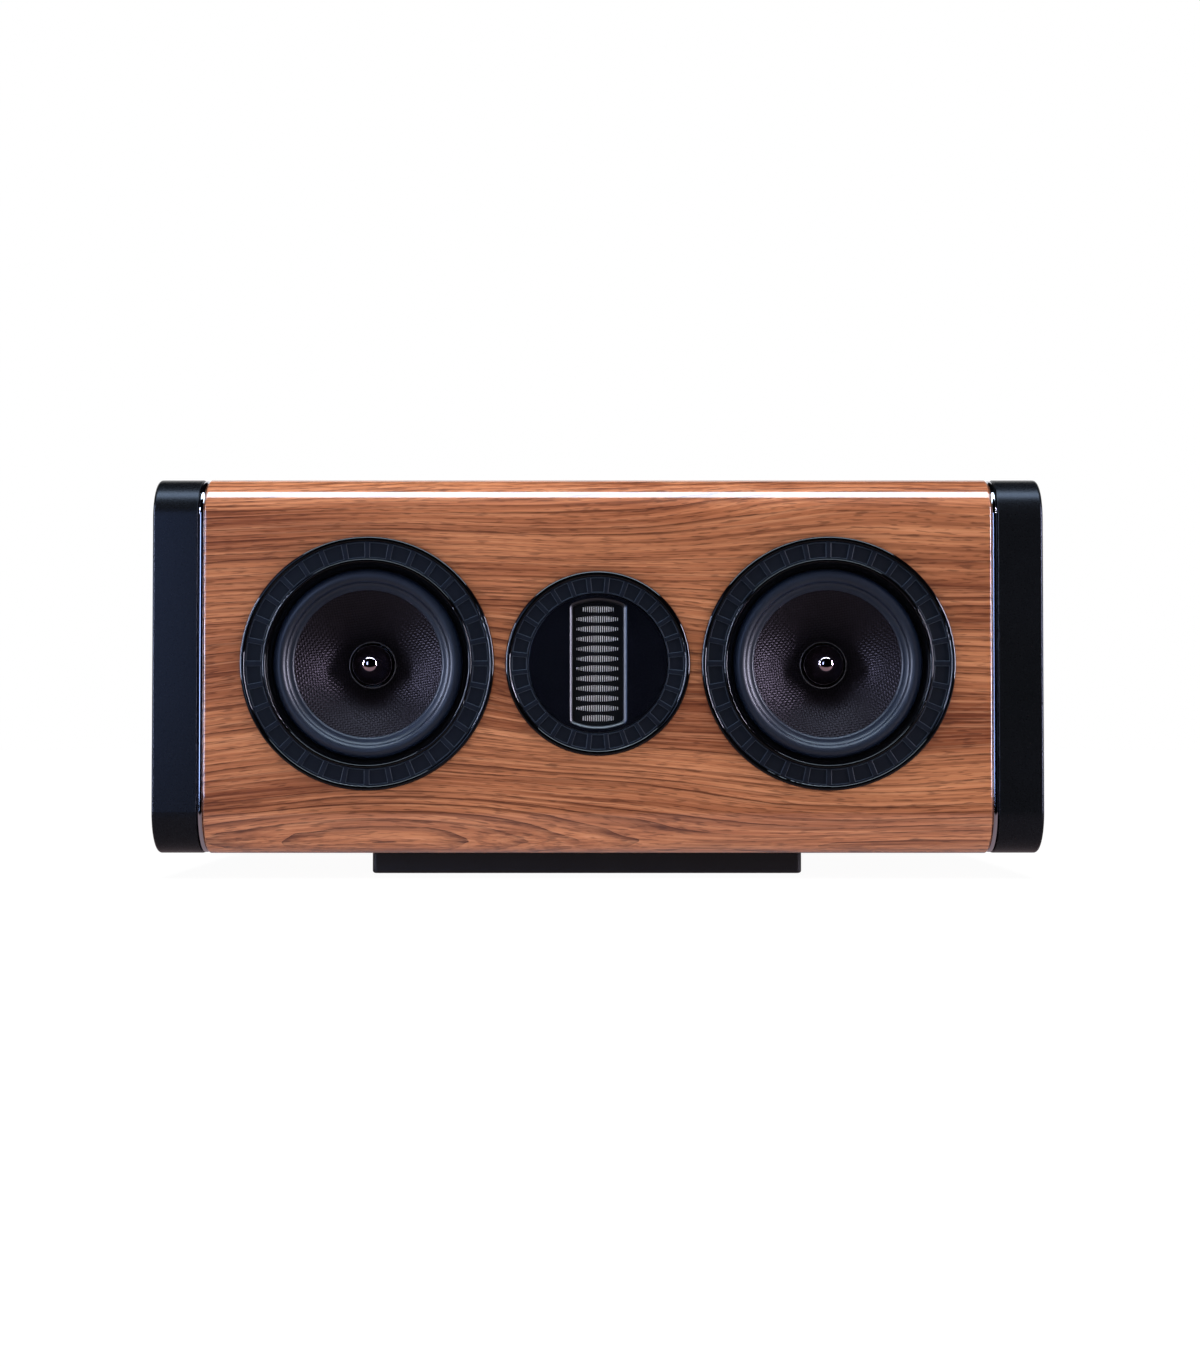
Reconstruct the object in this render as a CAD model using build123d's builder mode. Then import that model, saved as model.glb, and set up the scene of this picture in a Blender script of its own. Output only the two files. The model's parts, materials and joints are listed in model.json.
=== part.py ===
from build123d import *
import os

os.makedirs("parts", exist_ok=True)

# Centre channel loudspeaker: a walnut-wrapped cabinet lying on its long side, a black end cap and
# a polished band at each end, two woven-cone woofers and a pleated tweeter between them.
# Millimetres, +Z up, front towards -Y, origin under the cabinet's middle on the shelf.

# Driving sizes of the cabinet
WIDTH = 620.0
CABINET_H = 264.25
DEPTH = 310.0
EDGE_R = 30.0
WALL = 18.0
BAFFLE_T = 25.0
CORNER_IN = 15.0
CAP_T = 31.5
CAP_INSET = 0.2
CAP_EDGE_R = 2.5
CAP_INNER_R = 0.6
CAP_RIM = 22.0
SPIGOT_IN = 14.0
BAND_T = 4.5
BAND_INSET = 0.7
BODY_END_R = 1.5

# Plinth under the cabinet, set back from the front and a little left of the middle
PLINTH_W = 312.0
PLINTH_D = 196.0
PLINTH_H = 17.0
PLINTH_BACK = 70.0
PLINTH_SHIFT = -8.0
PLINTH_R = 2.0

# Drivers
DRIVER_SPACE = 7.6
DRIVER_LIFT = 0.875
PROUD = 5.0
FLANGE_T = 5.0
FLANGE_DROP = 1.0
GASKET_T = 1.0
CHANNEL_DEPTH = 3.4
PAD_T = 2.2
PAD_POCKET = 0.9
PAD_RIB = 3.2
PAD_LAND = 0.7

# Woofer radii and depths, depths counted from the baffle face
TRIM_R = 88.2
PADS_OUT = 84.8
PADS_IN = 72.7
BEAD_R = 70.2
THROAT_R = 66.0
WOOFER_PADS = 32
ROLL_OUT = 65.6
ROLL_IN = 56.3
ROLL_H = 4.6
SKIN = 0.8
SURROUND_IN = 53.0
SURROUND_LEVEL = 3.0
NECK_DEPTH = 33.0
NECK_R = 16.3
CONE_T = 0.8
CONE_FLARE = 2.6
STROKE = 5.0
SPIDER_DEPTH = 43.5
SPIDER_OUT = 52.0
MOTOR_DEPTH = 54.0
TOP_PLATE_T = 6.0
MAGNET_T = 16.0
YOKE_T = 6.0
MAGNET_R = 50.0
PLATE_R = 45.0
FORMER_T = 0.25
COIL_T = 0.65
POLE_GAP = 0.5
PLUG_TIP = 9.0
PLUG_GAP = 1.4
LEGS = 6
LEG_W = 11.0

# Tweeter radii and sizes
TWEETER_R = 64.2
TWEETER_PADS_OUT = 60.4
TWEETER_PADS_IN = 48.6
TWEETER_PADS = 28
DISC_RISE = 2.6
WINDOW_W = 35.0
WINDOW_R = 43.3
WINDOW_CORNER = 1.8
WINDOW_EDGE = 3.2
GRILLE_DROP = 3.0
GRILLE_LAP = 3.2
GRILLE_T = 3.0
SLOTS = 12
SLOT_PITCH = 6.9
SLOT_W = 29.7
SLOT_END_W = 22.0
SLOT_H = 4.6
SLOT_TIP = 1.7
SLOT_END_TIP = 2.8
PLEATS = 20
PLEAT_W = 30.0
PLEAT_H = 80.0
PLEAT_FOLD = 2.8
PLEAT_SKIN = 0.8
FRAME_LAP = 3.5
TWEETER_MOTOR_T = 16.0
TWEETER_POLE_T = 4.0
CHAMBER_D = 40.0
CHAMBER_WALL = 3.0

# Back of the cabinet
PANEL_W = 460.0
PANEL_H = 180.0
PANEL_T = 12.0
PANEL_R = 5.0
PANEL_LIP = 10.0
PORT_R = 27.0
PORT_WALL = 2.8
PORT_L = 116.0
PORT_FLARE = 14.0
PORT_FLANGE = 47.0
PORT_FLANGE_T = 4.0
PORT_LIFT = 22.125
TERMINAL_W = 104.0
TERMINAL_H = 52.0
TERMINAL_T = 4.0
TERMINAL_DROP = 59.125
POST_PITCH = 38.0
POST_R = 3.0
COLLAR_R = 6.0
COLLAR_T = 3.0
CLAMP_R = 6.6
CLAMP_T = 1.6
CLAMP_GAP = 0.3
KNOB_R = 8.0
KNOB_L = 16.0
SOCKET_R = 2.05
SOCKET_L = 16.0
NUT_T = 5.0
NUT_R = 6.0

# Inside
BRACE_T = 14.0
BRACE_FRAME = 48.0
BRACE_X = 76.0
BOARD_W = 112.0
BOARD_D = 110.0
BOARD_T = 1.6
BOARD_LIFT = 8.0
COIL_OUT = 20.0
COIL_IN = 9.0
COIL_H = 20.0
CAPACITOR_R = 10.0
CAPACITOR_L = 28.0
RESISTOR_W = 34.0
RESISTOR_D = 8.0
RESISTOR_H = 9.0
BOARD_EDGE = 4.0
WADDING_D = 120.0
WADDING_ENDS = 7.0
WADDING_BRACE = 20.0
WADDING_BACK = 23.5
WADDING_HEAD = 39.5

# Fasteners and clearances
SCREW_R = 2.0
SCREW_HEAD = 3.9
SCREW_L = 20.0
PLINTH_SCREW_L = 28.0
SCREW_SINK = 0.6
SCREW_GAP = 0.15
SLIP = 0.2
FIT = 0.05
SOFT_GAP = 0.3

# Derived sizes
WOOFER_X = TWEETER_R + DRIVER_SPACE + TRIM_R
BODY_W = WIDTH - 2 * (CAP_T + BAND_T)
Y_FRONT = -DEPTH / 2
Y_REAR = DEPTH / 2
Z_MID = PLINTH_H + CABINET_H / 2
DRIVER_Z = Z_MID + DRIVER_LIFT
CAVITY_D = DEPTH - BAFFLE_T - WALL
CAVITY_H = CABINET_H - 2 * WALL
CAVITY_Y = (BAFFLE_T - WALL) / 2
FLOOR_Z = PLINTH_H + WALL
REBATE = FLANGE_DROP + FLANGE_T + GASKET_T
FLANGE_R = PADS_OUT - 3.25
SCREW_CIRCLE = (FLANGE_R + PADS_IN - 0.5) / 2
HOLE_R = PADS_IN
LEDGE_R = PADS_IN - 0.5
RIM_LEVEL = SURROUND_LEVEL + SKIN
RIM_R = ROLL_IN - 0.1
FORMER_R = NECK_R - FIT
FORMER_IN = FORMER_R - FORMER_T
COIL_R = FORMER_R + COIL_T
POLE_R = FORMER_IN - POLE_GAP
WINDING = TOP_PLATE_T + 2 * STROKE
COIL_END = MOTOR_DEPTH + (TOP_PLATE_T + WINDING) / 2
FORMER_END = COIL_END + 1.5
MAGNET_DEPTH = MOTOR_DEPTH + TOP_PLATE_T
YOKE_DEPTH = MAGNET_DEPTH + MAGNET_T
TWEETER_FLANGE = TWEETER_PADS_OUT - 3.0
TWEETER_HOLE = TWEETER_PADS_IN
TWEETER_CIRCLE = (TWEETER_FLANGE + TWEETER_PADS_IN) / 2
TWEETER_BACK = FLANGE_DROP + FLANGE_T
MOTOR_R = TWEETER_HOLE - 1.0
GRILLE_W = WINDOW_W + 2 * GRILLE_LAP
GRILLE_R = WINDOW_R + 2.4
REAR_POLE = TWEETER_BACK + TWEETER_MOTOR_T
CHAMBER_AT = REAR_POLE + TWEETER_POLE_T
PORT_Z = Z_MID + PORT_LIFT
TERMINAL_Z = Z_MID - TERMINAL_DROP
COLLAR_AT = TERMINAL_T + COLLAR_T
CLAMP_AT = COLLAR_AT + CLAMP_GAP
KNOB_AT = CLAMP_AT + CLAMP_T + CLAMP_GAP / 3
POST_TIP = KNOB_AT + KNOB_L + 1.0
BOARD_Z = FLOOR_Z + BOARD_LIFT + BOARD_T


def front(x, drop=0.0):
    # Driver plane at the baffle face: its z axis points out of the front.
    return Plane(origin=(x, Y_FRONT + drop, DRIVER_Z), x_dir=(1, 0, 0), z_dir=(0, -1, 0))


def rear(x, z, rise=0.0):
    # Plane on the back face: its z axis points out of the back.
    return Plane(origin=(x, Y_REAR + rise, z), x_dir=(-1, 0, 0), z_dir=(0, 1, 0))


def section(at):
    # Plane through the axis of another: x is the radius, y runs along the axis.
    return Plane(origin=at.origin, x_dir=at.x_dir, z_dir=-at.y_dir)


def axis_of(at):
    return Axis(at.origin, at.z_dir)


def keep(piece, name):
    piece.part.label = name
    export_step(piece.part, f"parts/{name}.step")


woofers = (("left", -WOOFER_X), ("right", WOOFER_X))
ends = (("left", -1), ("right", 1))

# Rear panel screws sit in a ring round the panel, the terminal plate's in its corners
panel_screw_x = PANEL_W / 2 - PANEL_LIP / 2
panel_screw_z = PANEL_H / 2 - PANEL_LIP / 2
panel_screws = [(x, z) for x in (-panel_screw_x, -panel_screw_x / 2, panel_screw_x / 2, panel_screw_x)
                for z in (-panel_screw_z, panel_screw_z)]
plate_screws = [(x, z) for x in (-TERMINAL_W / 2 + 8, TERMINAL_W / 2 - 8)
                for z in (-TERMINAL_H / 2 + 8, TERMINAL_H / 2 - 8)]
plinth_screws_at = [(x, y) for x in (-PLINTH_W / 2 + 30, 0, PLINTH_W / 2 - 30)
                    for y in (-PLINTH_D / 2 + 30, PLINTH_D / 2 - 30)]
plinth_y = Y_FRONT + PLINTH_BACK + PLINTH_D / 2

# The shell: one rounded tube of board along X, closed in front by the baffle
with BuildPart() as cabinet_shell:
    with BuildSketch(Plane.YZ.offset(-BODY_W / 2)):
        with Locations((0, Z_MID)):
            RectangleRounded(DEPTH, CABINET_H, EDGE_R)
    extrude(amount=BODY_W)
    fillet(cabinet_shell.faces().filter_by(Axis.X).edges(), radius=BODY_END_R)
    with BuildSketch(Plane.YZ.offset(-BODY_W / 2)):
        with Locations((CAVITY_Y, Z_MID)):
            RectangleRounded(CAVITY_D, CAVITY_H, CORNER_IN)
    extrude(amount=BODY_W, mode=Mode.SUBTRACT)
    for side, x in woofers:
        with BuildSketch(front(x)):
            Circle(FLANGE_R + SLIP)
        extrude(amount=-REBATE, mode=Mode.SUBTRACT)
        with BuildSketch(front(x)):
            Circle(HOLE_R)
        extrude(amount=-BAFFLE_T - 1, mode=Mode.SUBTRACT)
        with BuildSketch(front(x, REBATE)):
            with PolarLocations(SCREW_CIRCLE, LEGS, start_angle=30):
                Circle(SCREW_R + SCREW_GAP)
        extrude(amount=-(SCREW_L - FLANGE_T), mode=Mode.SUBTRACT)
    with BuildSketch(front(0)):
        Circle(TWEETER_FLANGE + SLIP)
    extrude(amount=-REBATE, mode=Mode.SUBTRACT)
    with BuildSketch(front(0)):
        Circle(TWEETER_HOLE)
    extrude(amount=-BAFFLE_T - 1, mode=Mode.SUBTRACT)
    with BuildSketch(front(0, REBATE)):
        with PolarLocations(TWEETER_CIRCLE, 4, start_angle=45):
            Circle(SCREW_R + SCREW_GAP)
    extrude(amount=-(SCREW_L - FLANGE_T), mode=Mode.SUBTRACT)
    with BuildSketch(rear(0, Z_MID)):
        RectangleRounded(PANEL_W + 2 * SLIP, PANEL_H + 2 * SLIP, PANEL_R + SLIP)
    extrude(amount=-PANEL_T, mode=Mode.SUBTRACT)
    with BuildSketch(rear(0, Z_MID)):
        RectangleRounded(PANEL_W - 2 * PANEL_LIP, PANEL_H - 2 * PANEL_LIP, PANEL_R)
    extrude(amount=-WALL - 1, mode=Mode.SUBTRACT)
    with BuildSketch(rear(0, Z_MID)):
        with Locations(*panel_screws):
            Circle(SCREW_R + SCREW_GAP)
    extrude(amount=-WALL - 1, mode=Mode.SUBTRACT)
    with BuildSketch(Plane.XY.offset(PLINTH_H)):
        with Locations(*[(PLINTH_SHIFT + x, plinth_y + y) for x, y in plinth_screws_at]):
            Circle(SCREW_R + SCREW_GAP)
    extrude(amount=PLINTH_SCREW_L - PLINTH_H + 2, mode=Mode.SUBTRACT)
keep(cabinet_shell, "cabinet_shell")

# End caps: a slab of the same outline whose hollow spigot plugs the tube, and the band between
for side, sign in ends:
    inner = sign * (BODY_W / 2 + BAND_T)
    face = Plane(origin=(inner, 0, Z_MID), x_dir=(0, sign, 0), z_dir=(sign, 0, 0))
    with BuildPart() as end_cap:
        with BuildSketch(face):
            RectangleRounded(DEPTH - 2 * CAP_INSET, CABINET_H - 2 * CAP_INSET, EDGE_R - CAP_INSET)
        extrude(amount=CAP_T)
        outside = end_cap.faces().filter_by(Axis.X).sort_by(Axis.X)[-1 if sign > 0 else 0]
        fillet(outside.edges(), radius=CAP_EDGE_R)
        inside = end_cap.faces().filter_by(Axis.X).sort_by(Axis.X)[0 if sign > 0 else -1]
        fillet(inside.edges(), radius=CAP_INNER_R)
        with BuildSketch(face):
            with Locations((sign * CAVITY_Y, 0)):
                RectangleRounded(CAVITY_D - 2 * SLIP, CAVITY_H - 2 * SLIP, CORNER_IN - SLIP)
                RectangleRounded(CAVITY_D - 2 * CAP_RIM, CAVITY_H - 2 * CAP_RIM, CORNER_IN, mode=Mode.SUBTRACT)
        extrude(amount=-(BAND_T + SPIGOT_IN))
    keep(end_cap, f"end_cap_{side}")
    with BuildPart() as trim_band:
        with BuildSketch(face):
            RectangleRounded(DEPTH - 2 * BAND_INSET, CABINET_H - 2 * BAND_INSET, EDGE_R - BAND_INSET)
        extrude(amount=-BAND_T)
        fillet(trim_band.faces().filter_by(Axis.X).edges(), radius=BAND_T * 0.48)
        with BuildSketch(face):
            with Locations((sign * CAVITY_Y, 0)):
                RectangleRounded(CAVITY_D, CAVITY_H, CORNER_IN)
        extrude(amount=-BAND_T, mode=Mode.SUBTRACT)
    keep(trim_band, f"trim_band_{side}")

# Plinth with softened lower edges, screwed up into the floor of the cabinet
with BuildPart() as plinth:
    with BuildSketch(Plane.XY):
        with Locations((PLINTH_SHIFT, plinth_y)):
            RectangleRounded(PLINTH_W, PLINTH_D, PLINTH_R * 2)
    extrude(amount=PLINTH_H)
    fillet(plinth.faces().sort_by(Axis.Z)[0].edges(), radius=PLINTH_R)
    with Locations(Plane(origin=(PLINTH_SHIFT, plinth_y, SCREW_SINK), x_dir=(1, 0, 0), z_dir=(0, 0, -1))):
        with Locations(*plinth_screws_at):
            CounterSinkHole(SCREW_R + SCREW_GAP, SCREW_HEAD + SCREW_GAP + 0.3, depth=PLINTH_H, counter_sink_angle=90)
    with BuildSketch(Plane.XY):
        with Locations(*[(PLINTH_SHIFT + x, plinth_y + y) for x, y in plinth_screws_at]):
            Circle(SCREW_HEAD + SCREW_GAP)
    extrude(amount=SCREW_SINK, mode=Mode.SUBTRACT)
keep(plinth, "plinth")

# Braces between the woofers and the tweeter, with one large window each
for side, sign in ends:
    with BuildPart() as brace:
        with BuildSketch(Plane.YZ.offset(sign * BRACE_X - BRACE_T / 2)):
            with Locations((CAVITY_Y, Z_MID)):
                RectangleRounded(CAVITY_D - 2 * SLIP, CAVITY_H - 2 * SLIP, CORNER_IN)
                RectangleRounded(CAVITY_D - 2 * BRACE_FRAME, CAVITY_H - 2 * BRACE_FRAME, 30.0, mode=Mode.SUBTRACT)
        extrude(amount=BRACE_T)
    keep(brace, f"brace_{side}")

# Countersunk wood screw, drawn with its head in the XY plane and its shank along -Z
with BuildPart() as screw:
    with BuildSketch(Plane.XZ):
        with BuildLine():
            Polyline((0, 0), (SCREW_HEAD, 0), (SCREW_HEAD, -0.3), (SCREW_R, SCREW_R - SCREW_HEAD - 0.3),
                     (SCREW_R, -SCREW_L + 3), (0, -SCREW_L), close=True)
        make_face()
    revolve(axis=Axis.Z)

with BuildPart() as long_screw:
    with BuildSketch(Plane.XZ):
        with BuildLine():
            Polyline((0, 0), (SCREW_HEAD, 0), (SCREW_HEAD, -0.3), (SCREW_R, SCREW_R - SCREW_HEAD - 0.3),
                     (SCREW_R, -PLINTH_SCREW_L + 3), (0, -PLINTH_SCREW_L), close=True)
        make_face()
    revolve(axis=Axis.Z)

with BuildPart() as driver_screws:
    for side, x in woofers:
        with Locations(front(x, FLANGE_DROP)):
            with PolarLocations(SCREW_CIRCLE, LEGS, start_angle=30):
                add(screw.part)
    with Locations(front(0, FLANGE_DROP)):
        with PolarLocations(TWEETER_CIRCLE, 4, start_angle=45):
            add(screw.part)
keep(driver_screws, "driver_screws")

with BuildPart() as plinth_screws:
    with Locations(Plane(origin=(PLINTH_SHIFT, plinth_y, SCREW_SINK), x_dir=(1, 0, 0), z_dir=(0, 0, -1))):
        with Locations(*plinth_screws_at):
            add(long_screw.part)
keep(plinth_screws, "plinth_screws")

with BuildPart() as rear_panel_screws:
    with Locations(rear(0, Z_MID)):
        with Locations(*panel_screws):
            add(screw.part)
    with Locations(rear(0, TERMINAL_Z, TERMINAL_T)):
        with Locations(*plate_screws):
            add(screw.part)
keep(rear_panel_screws, "rear_panel_screws")


def pad_ring(at, r_in, r_out, count, turn=0.0):
    # Soft ring of shallow rectangular pockets with a raised rib between each two, the first one at that turn.
    with BuildPart() as ring:
        with BuildSketch(at):
            Circle(r_out)
            Circle(r_in, mode=Mode.SUBTRACT)
        extrude(amount=PAD_T)
        with BuildSketch(at.offset(PAD_T - PAD_POCKET)):
            Circle(r_out - PAD_LAND)
            Circle(r_in + PAD_LAND, mode=Mode.SUBTRACT)
            with PolarLocations((r_in + r_out) / 2, count, start_angle=turn):
                Rectangle(r_out - r_in + 4, PAD_RIB, mode=Mode.SUBTRACT)
        extrude(amount=PAD_T, mode=Mode.SUBTRACT)
    return ring


with BuildPart() as driver_gaskets:
    for side, x in woofers:
        with BuildSketch(front(x, REBATE)):
            Circle(FLANGE_R)
            Circle(HOLE_R, mode=Mode.SUBTRACT)
            with PolarLocations(SCREW_CIRCLE, LEGS, start_angle=30):
                Circle(SCREW_R + SCREW_GAP, mode=Mode.SUBTRACT)
        extrude(amount=GASKET_T)
    with BuildSketch(front(0, REBATE)):
        Circle(TWEETER_FLANGE)
        Circle(TWEETER_HOLE, mode=Mode.SUBTRACT)
        with PolarLocations(TWEETER_CIRCLE, 4, start_angle=45):
            Circle(SCREW_R + SCREW_GAP, mode=Mode.SUBTRACT)
    extrude(amount=GASKET_T)
keep(driver_gaskets, "driver_gaskets")

for side, x in woofers:
    at = front(x)
    cut = section(at)
    spin = axis_of(at)

    # Cast frame: flange with a ledge for the surround, six legs and a cup that carries the spider
    with BuildPart() as basket:
        with BuildSketch(cut):
            with BuildLine():
                Polyline((FLANGE_R, -FLANGE_DROP), (LEDGE_R, -FLANGE_DROP), (LEDGE_R, -RIM_LEVEL),
                         (THROAT_R, -RIM_LEVEL), (THROAT_R, -REBATE - 3), (LEDGE_R - 2, -REBATE - 3),
                         (LEDGE_R, -REBATE + GASKET_T), (FLANGE_R, -REBATE + GASKET_T), close=True)
            make_face()
            with BuildLine():
                Polyline((SPIDER_OUT, -SPIDER_DEPTH), (SPIDER_OUT - 3.5, -SPIDER_DEPTH),
                         (SPIDER_OUT - 3.5, -MOTOR_DEPTH + 4), (PLATE_R - 15, -MOTOR_DEPTH + 4),
                         (PLATE_R - 15, -MOTOR_DEPTH), (SPIDER_OUT, -MOTOR_DEPTH), close=True)
            make_face()
        revolve(axis=spin)
        leg_planes = [section(Plane(at.location * Location((0, 0, 0), (0, 0, 360 / LEGS * i)))) for i in range(LEGS)]
        with BuildSketch(*leg_planes):
            with BuildLine():
                Polyline((LEDGE_R - 1, -REBATE - 1), (THROAT_R + 0.5, -REBATE - 1), (SPIDER_OUT + SLIP, -SPIDER_DEPTH + 6),
                         (SPIDER_OUT + SLIP, -SPIDER_DEPTH), (SPIDER_OUT - 2.5, -SPIDER_DEPTH),
                         (SPIDER_OUT - 2.5, -MOTOR_DEPTH), (SPIDER_OUT + 1.5, -MOTOR_DEPTH),
                         (SPIDER_OUT + 4.5, -SPIDER_DEPTH + 4), (LEDGE_R - 2, -REBATE - 8), close=True)
            make_face()
        extrude(amount=LEG_W / 2, both=True)
        with Locations(front(x, FLANGE_DROP)):
            with PolarLocations(SCREW_CIRCLE, LEGS, start_angle=30):
                CounterSinkHole(SCREW_R + SCREW_GAP, SCREW_HEAD + SCREW_GAP + 0.3, depth=FLANGE_T + 1,
                                counter_sink_angle=90)
    keep(basket, f"woofer_{side}_basket")

    # Rubber half-roll that closes the gap between frame and cone
    with BuildPart() as surround:
        with BuildSketch(cut):
            with BuildLine():
                Polyline((ROLL_OUT, -SURROUND_LEVEL), (LEDGE_R - SLIP, -SURROUND_LEVEL), (LEDGE_R - SLIP, -RIM_LEVEL),
                         (ROLL_OUT - SKIN, -RIM_LEVEL))
                ThreePointArc((ROLL_OUT - SKIN, -RIM_LEVEL), ((ROLL_OUT + ROLL_IN) / 2, ROLL_H - RIM_LEVEL),
                              (ROLL_IN + SKIN, -RIM_LEVEL))
                Polyline((ROLL_IN + SKIN, -RIM_LEVEL), (SURROUND_IN, -RIM_LEVEL), (SURROUND_IN, -SURROUND_LEVEL),
                         (ROLL_IN, -SURROUND_LEVEL))
                ThreePointArc((ROLL_IN, -SURROUND_LEVEL), ((ROLL_OUT + ROLL_IN) / 2, ROLL_H - SURROUND_LEVEL),
                              (ROLL_OUT, -SURROUND_LEVEL))
            make_face()
        revolve(axis=spin)
    keep(surround, f"woofer_{side}_surround")

    # Woven cone, flared towards its rim
    mid_r = (SURROUND_IN + NECK_R) / 2
    mid_depth = (RIM_LEVEL + NECK_DEPTH) / 2 - CONE_FLARE
    with BuildPart() as cone:
        with BuildSketch(cut):
            with BuildLine():
                Polyline((SURROUND_IN - 0.5, -RIM_LEVEL), (RIM_R, -RIM_LEVEL), (RIM_R, -RIM_LEVEL - CONE_T),
                         (SURROUND_IN, -RIM_LEVEL - CONE_T))
                ThreePointArc((SURROUND_IN, -RIM_LEVEL - CONE_T), (mid_r + 0.5, -mid_depth - CONE_T),
                              (NECK_R, -NECK_DEPTH - CONE_T * 1.6))
                Line((NECK_R, -NECK_DEPTH - CONE_T * 1.6), (NECK_R, -NECK_DEPTH))
                ThreePointArc((NECK_R, -NECK_DEPTH), (mid_r, -mid_depth), (SURROUND_IN - 0.5, -RIM_LEVEL))
            make_face()
        revolve(axis=spin)
    keep(cone, f"woofer_{side}_cone")

    # Voice coil: a thin former with its winding in the gap of the motor
    with BuildPart() as voice_coil:
        with BuildSketch(cut):
            with BuildLine():
                Polyline((FORMER_IN, -NECK_DEPTH), (FORMER_R, -NECK_DEPTH), (FORMER_R, -COIL_END + WINDING),
                         (COIL_R, -COIL_END + WINDING), (COIL_R, -COIL_END), (FORMER_R, -COIL_END),
                         (FORMER_R, -FORMER_END), (FORMER_IN, -FORMER_END), close=True)
            make_face()
        revolve(axis=spin)
    keep(voice_coil, f"woofer_{side}_voice_coil")

    # Corrugated spider, glued to the cup of the frame and round the former
    wave = (SPIDER_OUT - 4 - FORMER_R - 3) / 4
    with BuildPart() as spider:
        with BuildSketch(cut):
            with BuildLine():
                Line((FORMER_R + FIT, -SPIDER_DEPTH + 0.3), (FORMER_R + 3, -SPIDER_DEPTH + 0.3))
                for i in range(4):
                    r0 = FORMER_R + 3 + wave * i
                    bend = 2.0 if i % 2 == 0 else -2.0
                    ThreePointArc((r0, -SPIDER_DEPTH + 0.3), (r0 + wave / 2, -SPIDER_DEPTH + 0.3 + bend),
                                  (r0 + wave, -SPIDER_DEPTH + 0.3))
                Line((SPIDER_OUT - 4, -SPIDER_DEPTH + 0.3), (SPIDER_OUT, -SPIDER_DEPTH + 0.3))
            trace(line_width=0.6)
        revolve(axis=spin)
    keep(spider, f"woofer_{side}_spider")

    # Motor: front plate, ferrite ring, and the back plate with its vented pole
    with BuildPart() as top_plate:
        with BuildSketch(front(x, MOTOR_DEPTH)):
            Circle(PLATE_R)
            Circle(COIL_R + POLE_GAP, mode=Mode.SUBTRACT)
        extrude(amount=-TOP_PLATE_T)
    keep(top_plate, f"woofer_{side}_top_plate")

    with BuildPart() as magnet:
        with BuildSketch(front(x, MAGNET_DEPTH)):
            Circle(MAGNET_R)
            Circle(COIL_R + 6, mode=Mode.SUBTRACT)
        extrude(amount=-MAGNET_T)
        fillet(magnet.faces().filter_by(Axis.Y).edges().filter_by(lambda e: e.radius > PLATE_R), radius=1.5)
    keep(magnet, f"woofer_{side}_magnet")

    with BuildPart() as pole_yoke:
        with BuildSketch(front(x, YOKE_DEPTH + YOKE_T)):
            Circle(PLATE_R)
            Circle(6.0, mode=Mode.SUBTRACT)
        extrude(amount=YOKE_T)
        chamfer(pole_yoke.faces().sort_by(Axis.Y)[-1].edges().sort_by(SortBy.RADIUS)[-1], length=2.0)
        with BuildSketch(front(x, YOKE_DEPTH)):
            Circle(POLE_R)
            Circle(6.0, mode=Mode.SUBTRACT)
        extrude(amount=YOKE_DEPTH - MOTOR_DEPTH + 1)
    keep(pole_yoke, f"woofer_{side}_pole_yoke")

    # Fixed bullet on the pole, seen through the middle of the cone
    plug_r = FORMER_IN - PLUG_GAP
    with BuildPart() as phase_plug:
        with BuildSketch(cut):
            with BuildLine():
                Spline((plug_r, -NECK_DEPTH - 1), (plug_r / 2, -PLUG_TIP - plug_r / 2), (0, -PLUG_TIP),
                       tangents=((0, 1), (-1, 0)))
                Polyline((0, -PLUG_TIP), (0, -MOTOR_DEPTH + 1), (plug_r - 3, -MOTOR_DEPTH + 1),
                         (plug_r - 3, -NECK_DEPTH - 6), (plug_r, -NECK_DEPTH - 3), (plug_r, -NECK_DEPTH - 1))
            make_face()
        revolve(axis=spin)
    keep(phase_plug, f"woofer_{side}_phase_plug")

    # Gloss ring over the frame's screws, with a channel for the pads and a bead at its throat
    floor = PROUD - CHANNEL_DEPTH
    with BuildPart() as trim_ring:
        with BuildSketch(cut):
            with BuildLine():
                Polyline((PADS_OUT, PROUD - 1.1), (PADS_OUT, floor), (PADS_IN, floor), (PADS_IN, PROUD - 1.0))
                ThreePointArc((PADS_IN, PROUD - 1.0), ((PADS_IN + BEAD_R) / 2, PROUD), (BEAD_R, PROUD - 1.3))
                Polyline((BEAD_R, PROUD - 1.3), (THROAT_R, 1 - SURROUND_LEVEL), (THROAT_R, -SURROUND_LEVEL),
                         (LEDGE_R - SLIP, -SURROUND_LEVEL), (LEDGE_R - SLIP, -FLANGE_DROP), (FLANGE_R, -FLANGE_DROP),
                         (FLANGE_R, 0), (TRIM_R, 0), (TRIM_R, PROUD - 1.8))
                ThreePointArc((TRIM_R, PROUD - 1.8), ((TRIM_R + PADS_OUT) / 2 + 0.1, PROUD), (PADS_OUT, PROUD - 1.1))
            make_face()
        revolve(axis=spin)
    keep(trim_ring, f"woofer_{side}_trim_ring")

    pads = pad_ring(at.offset(floor), PADS_IN + SLIP, PADS_OUT - SLIP, WOOFER_PADS)
    keep(pads, f"woofer_{side}_pad_ring")

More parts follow.
